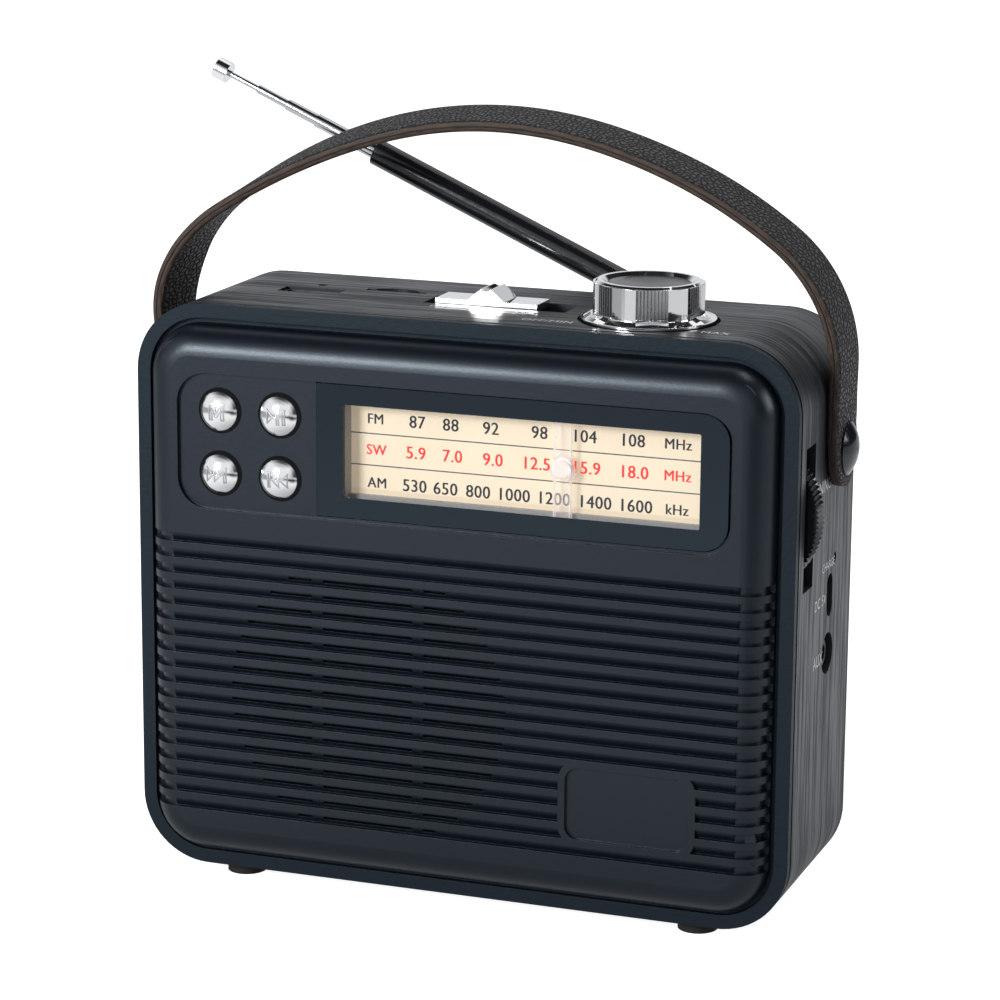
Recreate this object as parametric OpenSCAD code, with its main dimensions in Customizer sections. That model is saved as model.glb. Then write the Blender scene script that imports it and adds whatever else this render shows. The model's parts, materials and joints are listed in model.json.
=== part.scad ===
// Portable retro radio: wood-grain sleeve, moulded front, cord-driven dial, strap handle and rod antenna.
// Frame: X to the right, Y to the back, Z up. Z = 0 is the plane that the feet stand on.

/* [Case] */
// Width of the case
case_w = 155; // [150:1:165]
// Height of the case without the feet
case_h = 131.7; // [128:0.1:140]
// Depth from the front rim to the back edge of the sleeve
case_d = 48; // [46:0.5:60]
// Outer corner radius of the case
corner_r = 16; // [14:0.5:18]
// Thickness of the sleeve wall
wall = 2.2; // [1.8:0.1:2.6]
// Height of the feet
foot_h = 3.2; // [2:0.1:6]
// Diameter of the feet
foot_d = 9; // [6:0.5:12]

/* [Front panel] */
// Width of the flat front rim
rim_w = 3.2; // [2.5:0.1:4]
// Depth of the front rim
rim_t = 2; // [1.5:0.1:2.5]
// Shadow gap between the rim and the sleeve
rim_gap = 1; // [0.5:0.1:1.5]
// Width of the groove inside the rim
groove_w = 1.1; // [0.8:0.1:1.5]
// Height of the pillow face in front of the rim
bulge = 6; // [5:0.1:7]
// Radius of the rolled edge of the pillow
roll = 6.5; // [5:0.1:8]
// Wall of the front panel
panel_t = 2.2; // [2:0.1:2.6]
// Pitch of the grille fins
fin_pitch = 3.7; // [3.2:0.1:4.2]
// Height of one grille groove
fin_gap = 2; // [1.4:0.1:2.4]
// Depth of the grille grooves
fin_depth = 1.2; // [0.6:0.1:1.4]
// Height of the speaker slits
slit_h = 0.7; // [0.5:0.1:1]
// Diameter of the four button caps
button_d = 9; // [7:0.5:10]
// Travel of a button
button_travel = 0.8; // [0.4:0.1:1]

/* [Dial] */
// Width of the dial lens
lens_w = 95.1; // [92:0.1:98]
// Height of the dial lens
lens_h = 30; // [29:0.1:31]
// Thickness of the dial lens
lens_t = 1.8; // [1.4:0.1:2.2]
// Radius at which the dial cord runs on the drum and on the pulley
drum_r = 12.2; // [11.5:0.1:12.3]
// Diameter of the dial cord
cord_d = 0.8; // [0.6:0.1:1]
// Radius of the tuning wheel
wheel_r = 18.5; // [17.5:0.1:19]
// How far the tuning wheel stands out of the side
wheel_out = 2.8; // [2:0.1:3.2]
// Thickness of the tuning wheel
wheel_t = 5; // [4:0.1:5.5]

/* [Controls] */
// Diameter of the volume knob
knob_d = 24.8; // [22:0.1:27]
// Height of the volume knob above the top
knob_h = 9; // [8:0.1:12]
// Diameter of the knob's skirt
skirt_d = 30; // [28:0.1:32]
// Length of the band slider plate
slider_l = 24.3; // [20:0.1:25]
// Depth of the band slider plate
slider_w = 8.6; // [6:0.1:9]

/* [Speaker] */
// Diameter of the loudspeaker
speaker_d = 70; // [64:0.5:72]
// Diameter of its magnet
magnet_d = 40; // [32:0.5:44]

/* [Handle] */
// Width of the strap
strap_w = 17; // [14:0.5:18]
// Thickness of the strap
strap_t = 2.6; // [1.8:0.1:3]
// Rise of the strap above its rivets
strap_rise = 69; // [66:0.5:80]
// Forward lean of the strap
strap_lean = 3.5; // [0:0.5:6]
// Diameter of the rivet heads
rivet_d = 12; // [9:0.5:13]

/* [Antenna] */
// Outer diameter of the antenna sleeve
sleeve_d = 6.2; // [5.8:0.1:7]
// Distance from the pivot to the mouth of the sleeve
sleeve_l = 118; // [90:1:130]
// Angle of the antenna above horizontal
antenna_tilt = 23.9; // [0:0.1:60]
// Length of each telescope section that shows
section_show = 8.2; // [4:0.1:12]

/* [Battery] */
// Diameter of the cell
cell_d = 18.4; // [16:0.1:19]
// Length of the cell
cell_l = 65; // [60:0.5:68]

/* [Hidden] */
$fn = 64;
fit = 0.3;
run = 0.05;
eps = 0.01;

z0 = foot_h;
z_top = foot_h + case_h;
z_mid = foot_h + case_h / 2;
x_side = case_w / 2;
// The origin lies under the middle of the whole object, antenna and buttons included
button_out = 0.6;
cover_out = 2;
antenna_out = 4;
front_out = bulge + button_out;
back_out = cover_out + antenna_out + sleeve_d / 2;
y_rim = (front_out - back_out - case_d) / 2;
y_back = y_rim + case_d;
y_face = y_rim - bulge;
y_inner = y_face + panel_t;
y_sleeve = y_rim + rim_t + rim_gap;
z_under = z_top - wall;
spigot_in = wall + fit;
spigot_t = 2;
pillow_in = rim_w + groove_w;
rim_floor = y_rim + 1.4;
plate_back = y_rim + rim_t + 1.5;

// Dial and button panel
recess_d = 1;
recess_side = 12.5;
recess_top = 14.5;
recess_h = 31.1;
recess_x = x_side - recess_side;
recess_z1 = z_top - recess_top;
recess_z0 = recess_z1 - recess_h;
lens_x1 = x_side - 13.6;
lens_x0 = lens_x1 - lens_w;
lens_z1 = z_top - 14.7;
lens_z0 = lens_z1 - lens_h;
lens_y0 = y_face + 0.4;
lens_y1 = lens_y0 + lens_t;
ledge = 2.2;
ledge_t = 2.2;
frame_y0 = lens_y1 + ledge_t;
frame_front = frame_y0 + 2.2;
frame_back = frame_front + 1.8;
scale_t = 0.6;
frame_wall = 1.6;
scale_top = lens_z1 - 4;
button_x = [22.3, 36.8];
button_z = [8.6, 23];

// Tuning drive
wheel_x = x_side + wheel_out - wheel_r;
wheel_z = z_top - 39.5;
wheel_y0 = y_rim + 8;
wheel_y1 = wheel_y0 + wheel_t;
drum_y0 = frame_back + 1.8;
cord_y = (drum_y0 + wheel_y0) / 2;
pulley_x = lens_x0 + 1.7;
pulley_pin_r = 1.5;
shaft_r = 3;
drum_lip = 0.8;
rail_r = 1.2;
rail_y = frame_back + 2;
rail_z = wheel_z + drum_r + 5.4;
pointer_x = lens_x0 + 56.5;
pointer_w = 4;
pointer_low = 42;
pointer_high = 24.7;
carriage_w = 8;
arm_z = scale_top + 0.4;
arm_h = 1;

// Top controls
knob_x = x_side - 40.2;
knob_y = y_rim + 20;
knob_r = knob_d / 2;
skirt_sink = 0.6;
skirt_t = 1.2;
dish = 1.4;
rib_groups = 6;
ribs = 9;
rib_arc = 33;
rib_depth = 0.5;
rib_turn = -86;
smooth_steps = 7;
notch_z = 0.9;
notch_h = 0.9;
slot_x0 = -16.2;
slot_x1 = 17.6;
slot_y0 = y_rim + 20.5;
slot_y1 = slot_y0 + slider_w + 1.4;
slider_x = -1.35;
slider_y = (slot_y0 + slot_y1) / 2;
slider_z = z_top - 0.5;
slider_t = 1.6;
board_t = 1.6;
top_board_z = z_top - 14.4;
usb_x = -x_side + 32;
usb_y = y_rim + 25.5;
card_x = -x_side + 50.5;
card_y = y_rim + 31.8;
top_bosses = [[-x_side + 43, y_rim + 17], [22.5, y_rim + 34.6], [knob_x + 11.4, y_rim + 32]];

// Main board and side sockets
main_y0 = y_rim + 24.1;
main_y1 = main_y0 + board_t;
main_x0 = x_side - 57;
main_x1 = x_side - spigot_in - 2.6;
main_z0 = z0 + 19;
main_z1 = wheel_z + 16.6;
main_posts = [[main_x0 + 4, main_z0 + 4], [main_x1 - 4, main_z0 + 4],
              [main_x0 + 4, wheel_z - 21.4], [main_x1 - 12, wheel_z - 25.4]];
usbc_y = y_rim + 29.7;
usbc_z = z_top - 61.1;
aux_y = y_rim + 28.7;
aux_z = z_top - 74.3;
led_y = y_back - 14.6;
led_z = z_top - 53.3;

// Loudspeaker
speaker_x = -19.4;
speaker_z = z0 + 44.4;
speaker_y0 = y_inner + 0.2;
speaker_r = speaker_d / 2;
magnet_r = magnet_d / 2;
flange_t = 1.3;
basket_d = 12;
magnet_t = 10;
clamp_r = speaker_r + 4;

// Case fastening
post_in = 11.5;
post_r = 3.2;
boss_r = 3;
boss_sink = 0.5;
pilot_r = 1.25;
post_x = x_side - post_in;
posts = [for (sx = [-1, 1]) for (z = [z0 + post_in, z_top - 11]) [sx * post_x, z]];
cover_t = 2.1;
cover_back = y_back + cover_out;
cover_y = cover_back - cover_t;
post_split = y_back - 8.2;

// Handle
rivet_y = y_back - 17;
rivet_z = z_top - 27.7;
rivet_r = 2;
strap_x = x_side + fit;
strap_mid = strap_x + strap_t / 2;
crown_r = 110;
crown_a = 37.5;
shoulder_r = 35;
shoulder_a = 97.5;

// Antenna
antenna_x = x_side - 10.5;
antenna_z = z_top - 19.3;
antenna_y = cover_back + antenna_out;
section_n = 5;
section_d = [3.9, 3.2, 2.7, 2.1, 1.4];
section_bore = [3.3, 2.8, 2.2, 1.5, 0];
section_in = 78;
knuckle_l = 8;
tongue_t = 2.8;
tip_d = 5;
tip_l = 3.4;

// Battery
cell_x = -x_side + 57.5;
cell_y = y_back - 10.5;
cell_z = z0 + 20.8;
door_w = cell_l + 10;
tray_half = door_w / 2 + 2;
door_z0 = z0 + 8.8;
door_z1 = z0 + 34.8;

// Plane outline of the XZ plane drawn as a plate from y0 to y1
module plate(y0, y1) {
    translate([0, y1, 0]) rotate([90, 0, 0]) linear_extrude(y1 - y0) children();
}

// Round bars along the three axes
module bar_x(r, x0, x1, y, z) {
    translate([x0, y, z]) rotate([0, 90, 0]) cylinder(r = r, h = x1 - x0);
}
module bar_y(r, y0, y1, x, z) {
    translate([x, y1, z]) rotate([90, 0, 0]) cylinder(r = r, h = y1 - y0);
}
module bar_z(r, z_low, z_high, x, y) {
    translate([x, y, z_low]) cylinder(r = r, h = z_high - z_low);
}

// Box between two corners
module block(a, b) {
    translate(a) cube(b - a);
}

// Rectangle with round corners between two corners
module round_rect(x0, x1, y0, y1, r) {
    translate([x0 + r, y0]) square([x1 - x0 - 2 * r, y1 - y0]);
    translate([x0, y0 + r]) square([x1 - x0, y1 - y0 - 2 * r]);
    for (x = [x0 + r, x1 - r]) for (y = [y0 + r, y1 - r]) translate([x, y]) circle(r);
}

// Outline of the case, drawn in by a margin
module case_outline(inset) {
    round_rect(-x_side + inset, x_side - inset, z0 + inset, z_top - inset, corner_r - inset);
}

// Profile of a rolled edge about its own centre, kept in front of the panel's floor
module roll_corner(r) {
    intersection() {
        circle(r);
        translate([0, -roll]) square([roll, roll]);
    }
}

// Pillow with rolled edges, drawn in by a margin
module pillow(margin) {
    r = roll - margin;
    inset = pillow_in + roll;
    y_roll = y_face + roll;
    corner = corner_r - inset;
    plate(y_face + margin, rim_floor + margin) case_outline(inset);
    plate(y_roll, rim_floor + margin) case_outline(pillow_in + margin);
    for (sx = [-1, 1]) intersection() {
        translate([0, 0, z0 + corner_r]) linear_extrude(case_h - 2 * corner_r) {
            translate([sx * (x_side - inset), y_roll]) circle(r);
        }
        block([-x_side, y_face - 1, z0], [x_side, y_roll, z_top]);
    }
    for (z = [z0 + inset, z_top - inset]) intersection() {
        bar_x(r, -x_side + corner_r, x_side - corner_r, y_roll, z);
        block([-x_side, y_face - 1, z0], [x_side, y_roll, z_top]);
    }
    for (sx = [-1, 1]) for (z = [z0 + corner_r, z_top - corner_r]) {
        translate([sx * (x_side - corner_r), y_roll, z]) rotate([-90, 0, 0]) rotate_extrude() {
            translate([corner, 0]) roll_corner(r);
            translate([0, -r]) square([corner, r]);
        }
    }
}

// Floor of the grille grooves as a long bar with rolled sides
module groove_floor() {
    r = roll - fin_depth;
    x = x_side - pillow_in - roll;
    translate([0, 0, z0]) linear_extrude(case_h) {
        translate([-x, y_face + fin_depth]) square([2 * x, 10]);
        translate([-x - r, y_face + roll]) square([2 * (x + r), 10]);
        for (sx = [-1, 1]) translate([sx * x, y_face + roll]) circle(r);
    }
}

groove_z1 = recess_z0 - 7.2;
groove_n = floor((groove_z1 - z0 - 15) / fin_pitch) + 1;
badge = [x_side - 49.6, x_side - 21.1, z0 + 18.7, z0 + 35.2];
badge_rim = 1.6;
slit_bridges = [-11.9, 12.3];
bridge_w = 2.7;
slit_first = 2;
slit_up = 0.3;
fin_lip = 0.15;
slit_r = speaker_r - 2;

// One grille groove: a sloping floor on the flat face, square on the rolled sides
module groove(z) {
    x_flat = x_side - pillow_in - roll;
    low = z - fin_gap / 2;
    high = z + fin_gap / 2;
    translate([-x_flat, 0, 0]) rotate([90, 0, 90]) linear_extrude(2 * x_flat) {
        polygon([[y_face - 1, low], [y_face + fin_depth, low], [y_face + fin_lip, high], [y_face - 1, high]]);
    }
    difference() {
        for (sx = [-1, 1]) {
            x = sx * (x_flat + roll / 2);
            block([x - roll / 2, y_face - 1, low], [x + roll / 2, y_rim, high]);
        }
        groove_floor();
    }
}

// One row of speaker slits with two bridges
module slit_row(z) {
    half = sqrt(max(0, slit_r * slit_r - pow(z - speaker_z, 2)));
    ends = [-half, slit_bridges[0] - bridge_w / 2, slit_bridges[0] + bridge_w / 2,
            slit_bridges[1] - bridge_w / 2, slit_bridges[1] + bridge_w / 2, half];
    for (i = [0 : 2 : 4]) {
        if (ends[i + 1] - ends[i] > 2) {
            block([speaker_x + ends[i], y_face, z + slit_up - slit_h / 2],
                  [speaker_x + ends[i + 1], y_inner + 1, z + slit_up + slit_h / 2]);
        }
    }
}

module front_panel() {
    color([0.10, 0.11, 0.13]) difference() {
        union() {
            difference() {
                plate(y_rim, y_rim + rim_t) case_outline(0);
                plate(y_rim - 1, rim_floor) case_outline(rim_w);
            }
            plate(rim_floor, plate_back) case_outline(spigot_in);
            pillow(0);
            plate(plate_back - eps, y_rim + 10) difference() {
                case_outline(spigot_in);
                case_outline(spigot_in + spigot_t);
            }
        }
        pillow(panel_t);
        plate(rim_floor + panel_t, plate_back + 1) case_outline(spigot_in + spigot_t);
        plate(y_face - 1, y_face + recess_d) {
            round_rect(-recess_x, recess_x, recess_z0, recess_z1, 7);
        }
        plate(y_face - 1, lens_y1) lens_outline(fit);
        difference() {
            for (i = [0 : groove_n - 1]) groove(groove_z1 - i * fin_pitch);
            plate(y_face - 2, y_rim) {
                round_rect(badge[0] - badge_rim, badge[1] + badge_rim,
                           badge[2] - badge_rim, badge[3] + badge_rim, 4.6);
            }
        }
        plate(y_face - 1, y_face + 0.8) round_rect(badge[0], badge[1], badge[2], badge[3], 3);
        for (i = [slit_first : groove_n - 1]) slit_row(groove_z1 - i * fin_pitch);
        for (dx = button_x) for (dz = button_z) {
            bar_y(button_d / 2 + fit, y_face - 1, y_inner + 1, -x_side + dx, recess_z1 - dz);
        }
        plate(lens_y1 - 1, frame_y0 + 1) lens_outline(-ledge);
        block([x_side - spigot_in - spigot_t - 1, drum_y0 - 0.6, wheel_z - 17],
              [x_side, wheel_y1 + 3, wheel_z + 17]);
    }
    color([0.10, 0.11, 0.13]) {
        plate(lens_y1, frame_y0) difference() {
            lens_outline(1.8);
            lens_outline(-ledge);
        }
        for (p = posts) difference() {
            bar_y(post_r, y_inner - boss_sink, post_split - fit / 2, p[0], p[1]);
            bar_y(1.45, y_back - 20, post_split, p[0], p[1]);
        }
        for (p = main_posts) difference() {
            bar_y(boss_r, y_inner - boss_sink, main_y0, p[0], p[1]);
            bar_y(pilot_r, main_y0 - 8, main_y0 + 1, p[0], p[1]);
        }
        for (a = [45 : 90 : 315]) difference() {
            x = speaker_x + clamp_r * cos(a);
            z = speaker_z + clamp_r * sin(a);
            bar_y(boss_r, y_inner - boss_sink, speaker_y0 + flange_t, x, z);
            bar_y(pilot_r, y_inner - 0.4, speaker_y0 + 3, x, z);
        }
        for (sz = [-1, 1]) {
            block([-x_side + 19.5, y_inner - 0.4, recess_z1 - 15.8 + sz * 15 - 1.2],
                  [-x_side + 39.6, button_board_y, recess_z1 - 15.8 + sz * 15 + 1.2]);
        }
    }
}

// Dial lens outline: round corners on the right, square on the left
module lens_outline(grow) {
    r = 6 + grow;
    round_rect(lens_x0 - grow, lens_x1 + grow, lens_z0 - grow, lens_z1 + grow, r);
    translate([lens_x0 - grow, lens_z0 - grow]) square([2 * r, lens_h + 2 * grow]);
}

module cabinet() {
    color([0.30, 0.30, 0.32]) difference() {
        plate(y_sleeve, y_back) case_outline(0);
        plate(y_sleeve - 1, y_back + 1) case_outline(wall);
        // Tuning wheel slot
        block([x_side - wall - 1, wheel_y0 - 1.4, wheel_z - 15.9],
              [x_side + 1, wheel_y1 + 1.4, wheel_z + 16.2]);
        // Side sockets
        for (dz = [-2.6, 2.6]) bar_x(2.3, x_side - wall - 1, x_side + 1, usbc_y, usbc_z + dz);
        block([x_side - wall - 1, usbc_y - 2.3, usbc_z - 2.6], [x_side + 1, usbc_y + 2.3, usbc_z + 2.6]);
        bar_x(4.7, x_side - wall - 1, x_side + 1, aux_y, aux_z);
        bar_x(1.2, x_side - wall - 1, x_side + 1, led_y, led_z);
        // Top openings
        block([slot_x0, slot_y0, z_under - 1], [slot_x1, slot_y1, z_top + 1]);
        block([usb_x - 7.25, usb_y - 3, z_under - 1], [usb_x + 7.25, usb_y + 3, z_top + 1]);
        block([card_x - 7.3, card_y - 0.9, z_under - 1], [card_x + 7.3, card_y + 0.9, z_top + 1]);
        intersection() {
            bar_z(7, z_top - 1.2, z_top + 1, card_x, card_y - 3.6);
            block([card_x - 8, card_y, z_top - 2], [card_x + 8, card_y + 6, z_top + 2]);
        }
        bar_z(1.1, z_under - 1, z_top + 1, usb_x - 0.2, y_rim + 32.9);
        bar_z(skirt_d / 2 + 0.8, z_top - 1.2, z_top + 1, knob_x, knob_y);
        bar_z(3.7, z_under - 1, z_top + 1, knob_x, knob_y);
        // Rivet and foot holes
        for (sx = [-1, 1]) {
            translate([sx * (x_side - wall / 2), 0, 0]) bar_x(rivet_r + run, -wall, wall, rivet_y, rivet_z);
            for (y = [y_rim + 8, y_back - 8]) bar_z(1.7, z0 - 1, z0 + wall + 1, sx * foot_x, y);
        }
    }
    color([0.30, 0.30, 0.32]) for (p = top_bosses) difference() {
        bar_z(2.6, top_board_z, z_under + 0.4, p[0], p[1]);
        bar_z(pilot_r, top_board_z - 1, top_board_z + 8, p[0], p[1]);
    }
}

foot_x = x_side - 22.5;

module feet() {
    color([0.08, 0.08, 0.09]) for (x = [-foot_x, foot_x]) for (y = [y_rim + 8, y_back - 8]) {
        bar_z(foot_d / 2, 0, foot_h, x, y);
        bar_z(1.6, foot_h - eps, foot_h + wall, x, y);
    }
}

module rear_cover() {
    color([0.09, 0.09, 0.10]) difference() {
        union() {
            plate(cover_y, cover_back) case_outline(spigot_in);
            plate(y_back - 10, cover_y + eps) difference() {
                case_outline(spigot_in);
                case_outline(spigot_in + spigot_t);
            }
            for (p = posts) bar_y(post_r, post_split + fit / 2, cover_y + eps, p[0], p[1]);
            bar_y(6, cover_y - 3, cover_y + eps, antenna_x, antenna_z);
            for (sx = [-1, 1]) {
                x = cell_x + sx * (cell_l / 2 + 2.2);
                block([x - 0.8, cell_y - cell_d / 2 - 0.6, door_z0 + 1],
                      [x + 0.8, cover_y + eps, cell_z + 8]);
            }
            block([cell_x - tray_half, cell_y - cell_d / 2 - 1.8, cell_z - cell_d / 2 - 2],
                  [cell_x + tray_half, cell_y - cell_d / 2 - 0.3, cell_z + cell_d / 2 + 2]);
            for (dz = [-1, 1]) {
                z = cell_z + dz * (cell_d / 2 + 2.4);
                block([cell_x - tray_half, cell_y - cell_d / 2 - 1.8, z - 0.8],
                      [cell_x + tray_half, cover_y + 0.5, z + 0.8]);
            }
        }
        for (p = posts) {
            bar_y(1.6, post_split - 1, cover_back + 1, p[0], p[1]);
            bar_y(3.1, cover_back - 1.6, cover_back + 1, p[0], p[1]);
        }
        bar_y(3 + run, cover_y - 5, cover_back + 1, antenna_x, antenna_z);
        block([cell_x - door_w / 2 - fit, cover_y - 0.02, door_z0 - 1.4],
              [cell_x + door_w / 2 + fit, cover_back + 1, door_z1 + fit]);
        for (i = [0 : 5]) {
            block([10 + i * 5, cover_y - 1, z0 + 58], [12 + i * 5, cover_back + 1, z0 + 82]);
        }
    }
}

module battery_door() {
    color([0.09, 0.09, 0.10]) difference() {
        union() {
            block([cell_x - door_w / 2, cover_y + fit, door_z0], [cell_x + door_w / 2, cover_back, door_z1]);
            bar_x((cover_t - fit) / 2, cell_x - door_w / 2, cell_x + door_w / 2,
                  cover_back - (cover_t - fit) / 2, door_z0);
        }
        for (i = [0 : 3]) {
            z = door_z1 - 4 - i * 2.2;
            block([cell_x - 8, cover_back - 0.5, z], [cell_x + 8, cover_back + 1, z + 1]);
        }
    }
}

module case_screws() {
    color([0.55, 0.55, 0.57]) for (p = posts) difference() {
        union() {
            bar_y(2.8, cover_back - 1.6, cover_back - 0.2, p[0], p[1]);
            bar_y(1.4, y_back - 18, cover_back - 1.6 + eps, p[0], p[1]);
        }
        for (a = [0, 90]) {
            translate([p[0], cover_back, p[1]]) rotate([0, a, 0]) cube([3.4, 1.6, 0.6], center = true);
        }
    }
}

module dial_lens() {
    color([0.75, 0.80, 0.85, 0.4]) plate(lens_y0, lens_y1) lens_outline(0);
}

module dial_scale() {
    color([0.93, 0.85, 0.66]) plate(frame_front - scale_t, frame_front) {
        intersection() {
            lens_outline(-frame_wall - fit);
            translate([lens_x0, lens_z0 + ledge]) square([lens_w, scale_top - lens_z0 - ledge]);
        }
    }
}

module dial_frame() {
    color([0.12, 0.12, 0.13]) {
        difference() {
            plate(frame_y0, frame_back) lens_outline(0);
            plate(frame_y0 - 1, frame_front) lens_outline(-frame_wall);
            block([pointer_x - pointer_low - 4.5, frame_front - 1, arm_z - 0.4],
                  [pointer_x + pointer_high + 4.5, frame_back + 1, arm_z + 1.8]);
        }
        for (x = [pointer_x - pointer_low - 9, pointer_x + pointer_high + 6]) difference() {
            block([x, frame_back - eps, rail_z - 2.4], [x + 3, rail_y + 2, rail_z + 2.4]);
            bar_x(rail_r + run, x - 1, x + 4, rail_y, rail_z);
        }
        bar_y(pulley_pin_r, frame_back - eps, wheel_y0, pulley_x, wheel_z);
    }
}

module pointer_rail() {
    color([0.75, 0.76, 0.78]) {
        bar_x(rail_r, pointer_x - pointer_low - 9.5, pointer_x + pointer_high + 9.5, rail_y, rail_z);
    }
}

module dial_pointer() {
    x0 = pointer_x - pointer_w / 2;
    y0 = lens_y1 + 1;
    color([0.95, 0.95, 0.92, 0.6]) {
        block([x0, y0, lens_z0 + 3], [x0 + pointer_w, y0 + 1.2, arm_z + arm_h]);
        block([x0, y0, arm_z], [x0 + pointer_w, frame_back + fit, arm_z + arm_h]);
        intersection() {
            translate([pointer_x, y0 + 0.9, (lens_z0 + scale_top + ledge) / 2]) sphere(2.8);
            block([pointer_x - 4, y0 - 0.6, lens_z0], [pointer_x + 4, y0 + 1.2, lens_z1]);
        }
    }
}

module pointer_carriage() {
    clamp_z = wheel_z + drum_r;
    color([0.15, 0.15, 0.16]) difference() {
        block([pointer_x - carriage_w / 2, frame_back + fit, clamp_z - 1.2],
              [pointer_x + carriage_w / 2, cord_y + 1, arm_z + arm_h]);
        bar_x(rail_r + run, pointer_x - carriage_w, pointer_x + carriage_w, rail_y, rail_z);
        bar_x(cord_d / 2 + fit, pointer_x - carriage_w, pointer_x + carriage_w, cord_y, clamp_z);
    }
}

module dial_cord() {
    color([0.80, 0.78, 0.70]) {
        for (sz = [-1, 1]) bar_x(cord_d / 2, pulley_x, wheel_x, cord_y, wheel_z + sz * drum_r);
        for (e = [[wheel_x, 1], [pulley_x, -1]]) {
            translate([e[0], cord_y, wheel_z]) rotate([90, 0, 0]) rotate([0, 0, e[1] * 90 - 180]) {
                rotate_extrude(angle = 180) translate([drum_r, 0]) circle(cord_d / 2, $fn = 24);
            }
        }
    }
}

// Grooved drum for the dial cord
module drum(x, y0, y1) {
    core = drum_r - cord_d / 2 - fit;
    difference() {
        bar_y(drum_r + drum_lip, y0, y1, x, wheel_z);
        difference() {
            bar_y(drum_r + 2, cord_y - 0.9, cord_y + 0.9, x, wheel_z);
            bar_y(core, cord_y - 1, cord_y + 1, x, wheel_z);
        }
    }
}

module cord_pulley() {
    color([0.85, 0.85, 0.80]) difference() {
        drum(pulley_x, drum_y0 + 0.2, wheel_y0 - 0.2);
        bar_y(pulley_pin_r + run, drum_y0 - 1, wheel_y0 + 1, pulley_x, wheel_z);
        for (a = [0 : 60 : 300]) {
            bar_y(3, drum_y0 - 1, wheel_y0 + 1, pulley_x + 7 * cos(a), wheel_z + 7 * sin(a));
        }
    }
}

// Outline of a knurled wheel
module knurl(r, depth, teeth) {
    step = 180 / teeth;
    polygon([for (i = [0 : 2 * teeth - 1]) (r - (i % 2) * depth) * [cos(step * i), sin(step * i)]]);
}

module tuning_wheel() {
    color([0.07, 0.07, 0.08]) difference() {
        union() {
            plate(wheel_y0, wheel_y1) translate([wheel_x, wheel_z]) knurl(wheel_r, 0.6, 100);
            drum(wheel_x, drum_y0, wheel_y0 + eps);
        }
        bar_y(shaft_r + run, drum_y0 + 1.4, wheel_y1 + 1, wheel_x, wheel_z);
        bar_y(2.6, drum_y0 - 1, drum_y0 + 1, wheel_x, wheel_z);
        bar_y(1.5, drum_y0 - 1, drum_y0 + 2, wheel_x, wheel_z);
    }
}

module tuning_shaft() {
    color([0.75, 0.72, 0.60]) difference() {
        bar_y(shaft_r, drum_y0 + 1.4, main_y0 - 4, wheel_x, wheel_z);
        bar_y(1.35, drum_y0, drum_y0 + 8, wheel_x, wheel_z);
    }
}

module wheel_screw() {
    color([0.7, 0.7, 0.72]) {
        bar_y(2.4, drum_y0 - 0.4, drum_y0 + 1, wheel_x, wheel_z);
        bar_y(1.3, drum_y0 + 1 - eps, drum_y0 + 7, wheel_x, wheel_z);
    }
}

module tuning_pot() {
    color([0.85, 0.84, 0.78]) difference() {
        block([wheel_x - 9, wheel_y1 + 2, wheel_z - 10], [wheel_x + 9, main_y0, wheel_z + 10]);
        bar_y(shaft_r + run, wheel_y1, main_y0 - 3.7, wheel_x, wheel_z);
    }
}

// Knob outline with groups of ribs between smooth faces
module ribbed() {
    step = rib_arc / (2 * ribs);
    smooth = (360 / rib_groups - rib_arc) / smooth_steps;
    points = [for (g = [0 : rib_groups - 1]) each concat(
        [for (i = [0 : 2 * ribs]) [g * 360 / rib_groups + i * step, knob_r - (i % 2) * rib_depth]],
        [for (i = [1 : smooth_steps - 1]) [g * 360 / rib_groups + rib_arc + i * smooth, knob_r]])];
    rotate(rib_turn) polygon([for (p = points) p[1] * [cos(p[0]), sin(p[0])]]);
}

// Notches in the knob's foot under the groups of ribs
module rib_notches() {
    for (g = [0 : rib_groups - 1]) rotate(rib_turn + rib_arc / 2 + g * 360 / rib_groups) {
        half = knob_r * sin(rib_arc / 2);
        block([knob_r - 0.9, -half, notch_z], [knob_r + 1, half, notch_z + notch_h]);
    }
}

module volume_knob() {
    translate([knob_x, knob_y, z_top]) color([0.85, 0.86, 0.88]) difference() {
        union() {
            translate([0, 0, -skirt_sink]) cylinder(d = skirt_d, h = skirt_t);
            translate([0, 0, skirt_t - skirt_sink - eps]) {
                cylinder(d1 = skirt_d - 1, d2 = knob_d + 1, h = 0.9);
            }
            translate([0, 0, 1]) linear_extrude(knob_h - 1.5) ribbed();
            translate([0, 0, knob_h - 0.5 - eps]) cylinder(r1 = knob_r - 0.5, r2 = knob_r - 1, h = 0.5);
        }
        rib_notches();
        translate([0, 0, knob_h - dish]) cylinder(r1 = knob_r - 3, r2 = knob_r - 1.9, h = dish + 0.1);
        difference() {
            translate([0, 0, -1]) cylinder(r = knob_r - 2, h = knob_h - 2.4);
            translate([0, 0, 2]) cylinder(r = 5, h = knob_h);
        }
        translate([0, 0, -1]) cylinder(r = shaft_r + run, h = knob_h - 2);
    }
}

module knob_insert() {
    translate([knob_x, knob_y, z_top + knob_h - dish]) {
        color([0.55, 0.56, 0.58]) difference() {
            cylinder(r = knob_r - 3.1, h = 0.6);
            translate([0, 0, 40.3]) sphere(40, $fn = 96);
        }
    }
}

module volume_shaft() {
    color([0.8, 0.8, 0.78]) bar_z(shaft_r, z_under - 6, z_top + knob_h - 3.4, knob_x, knob_y);
}

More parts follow.
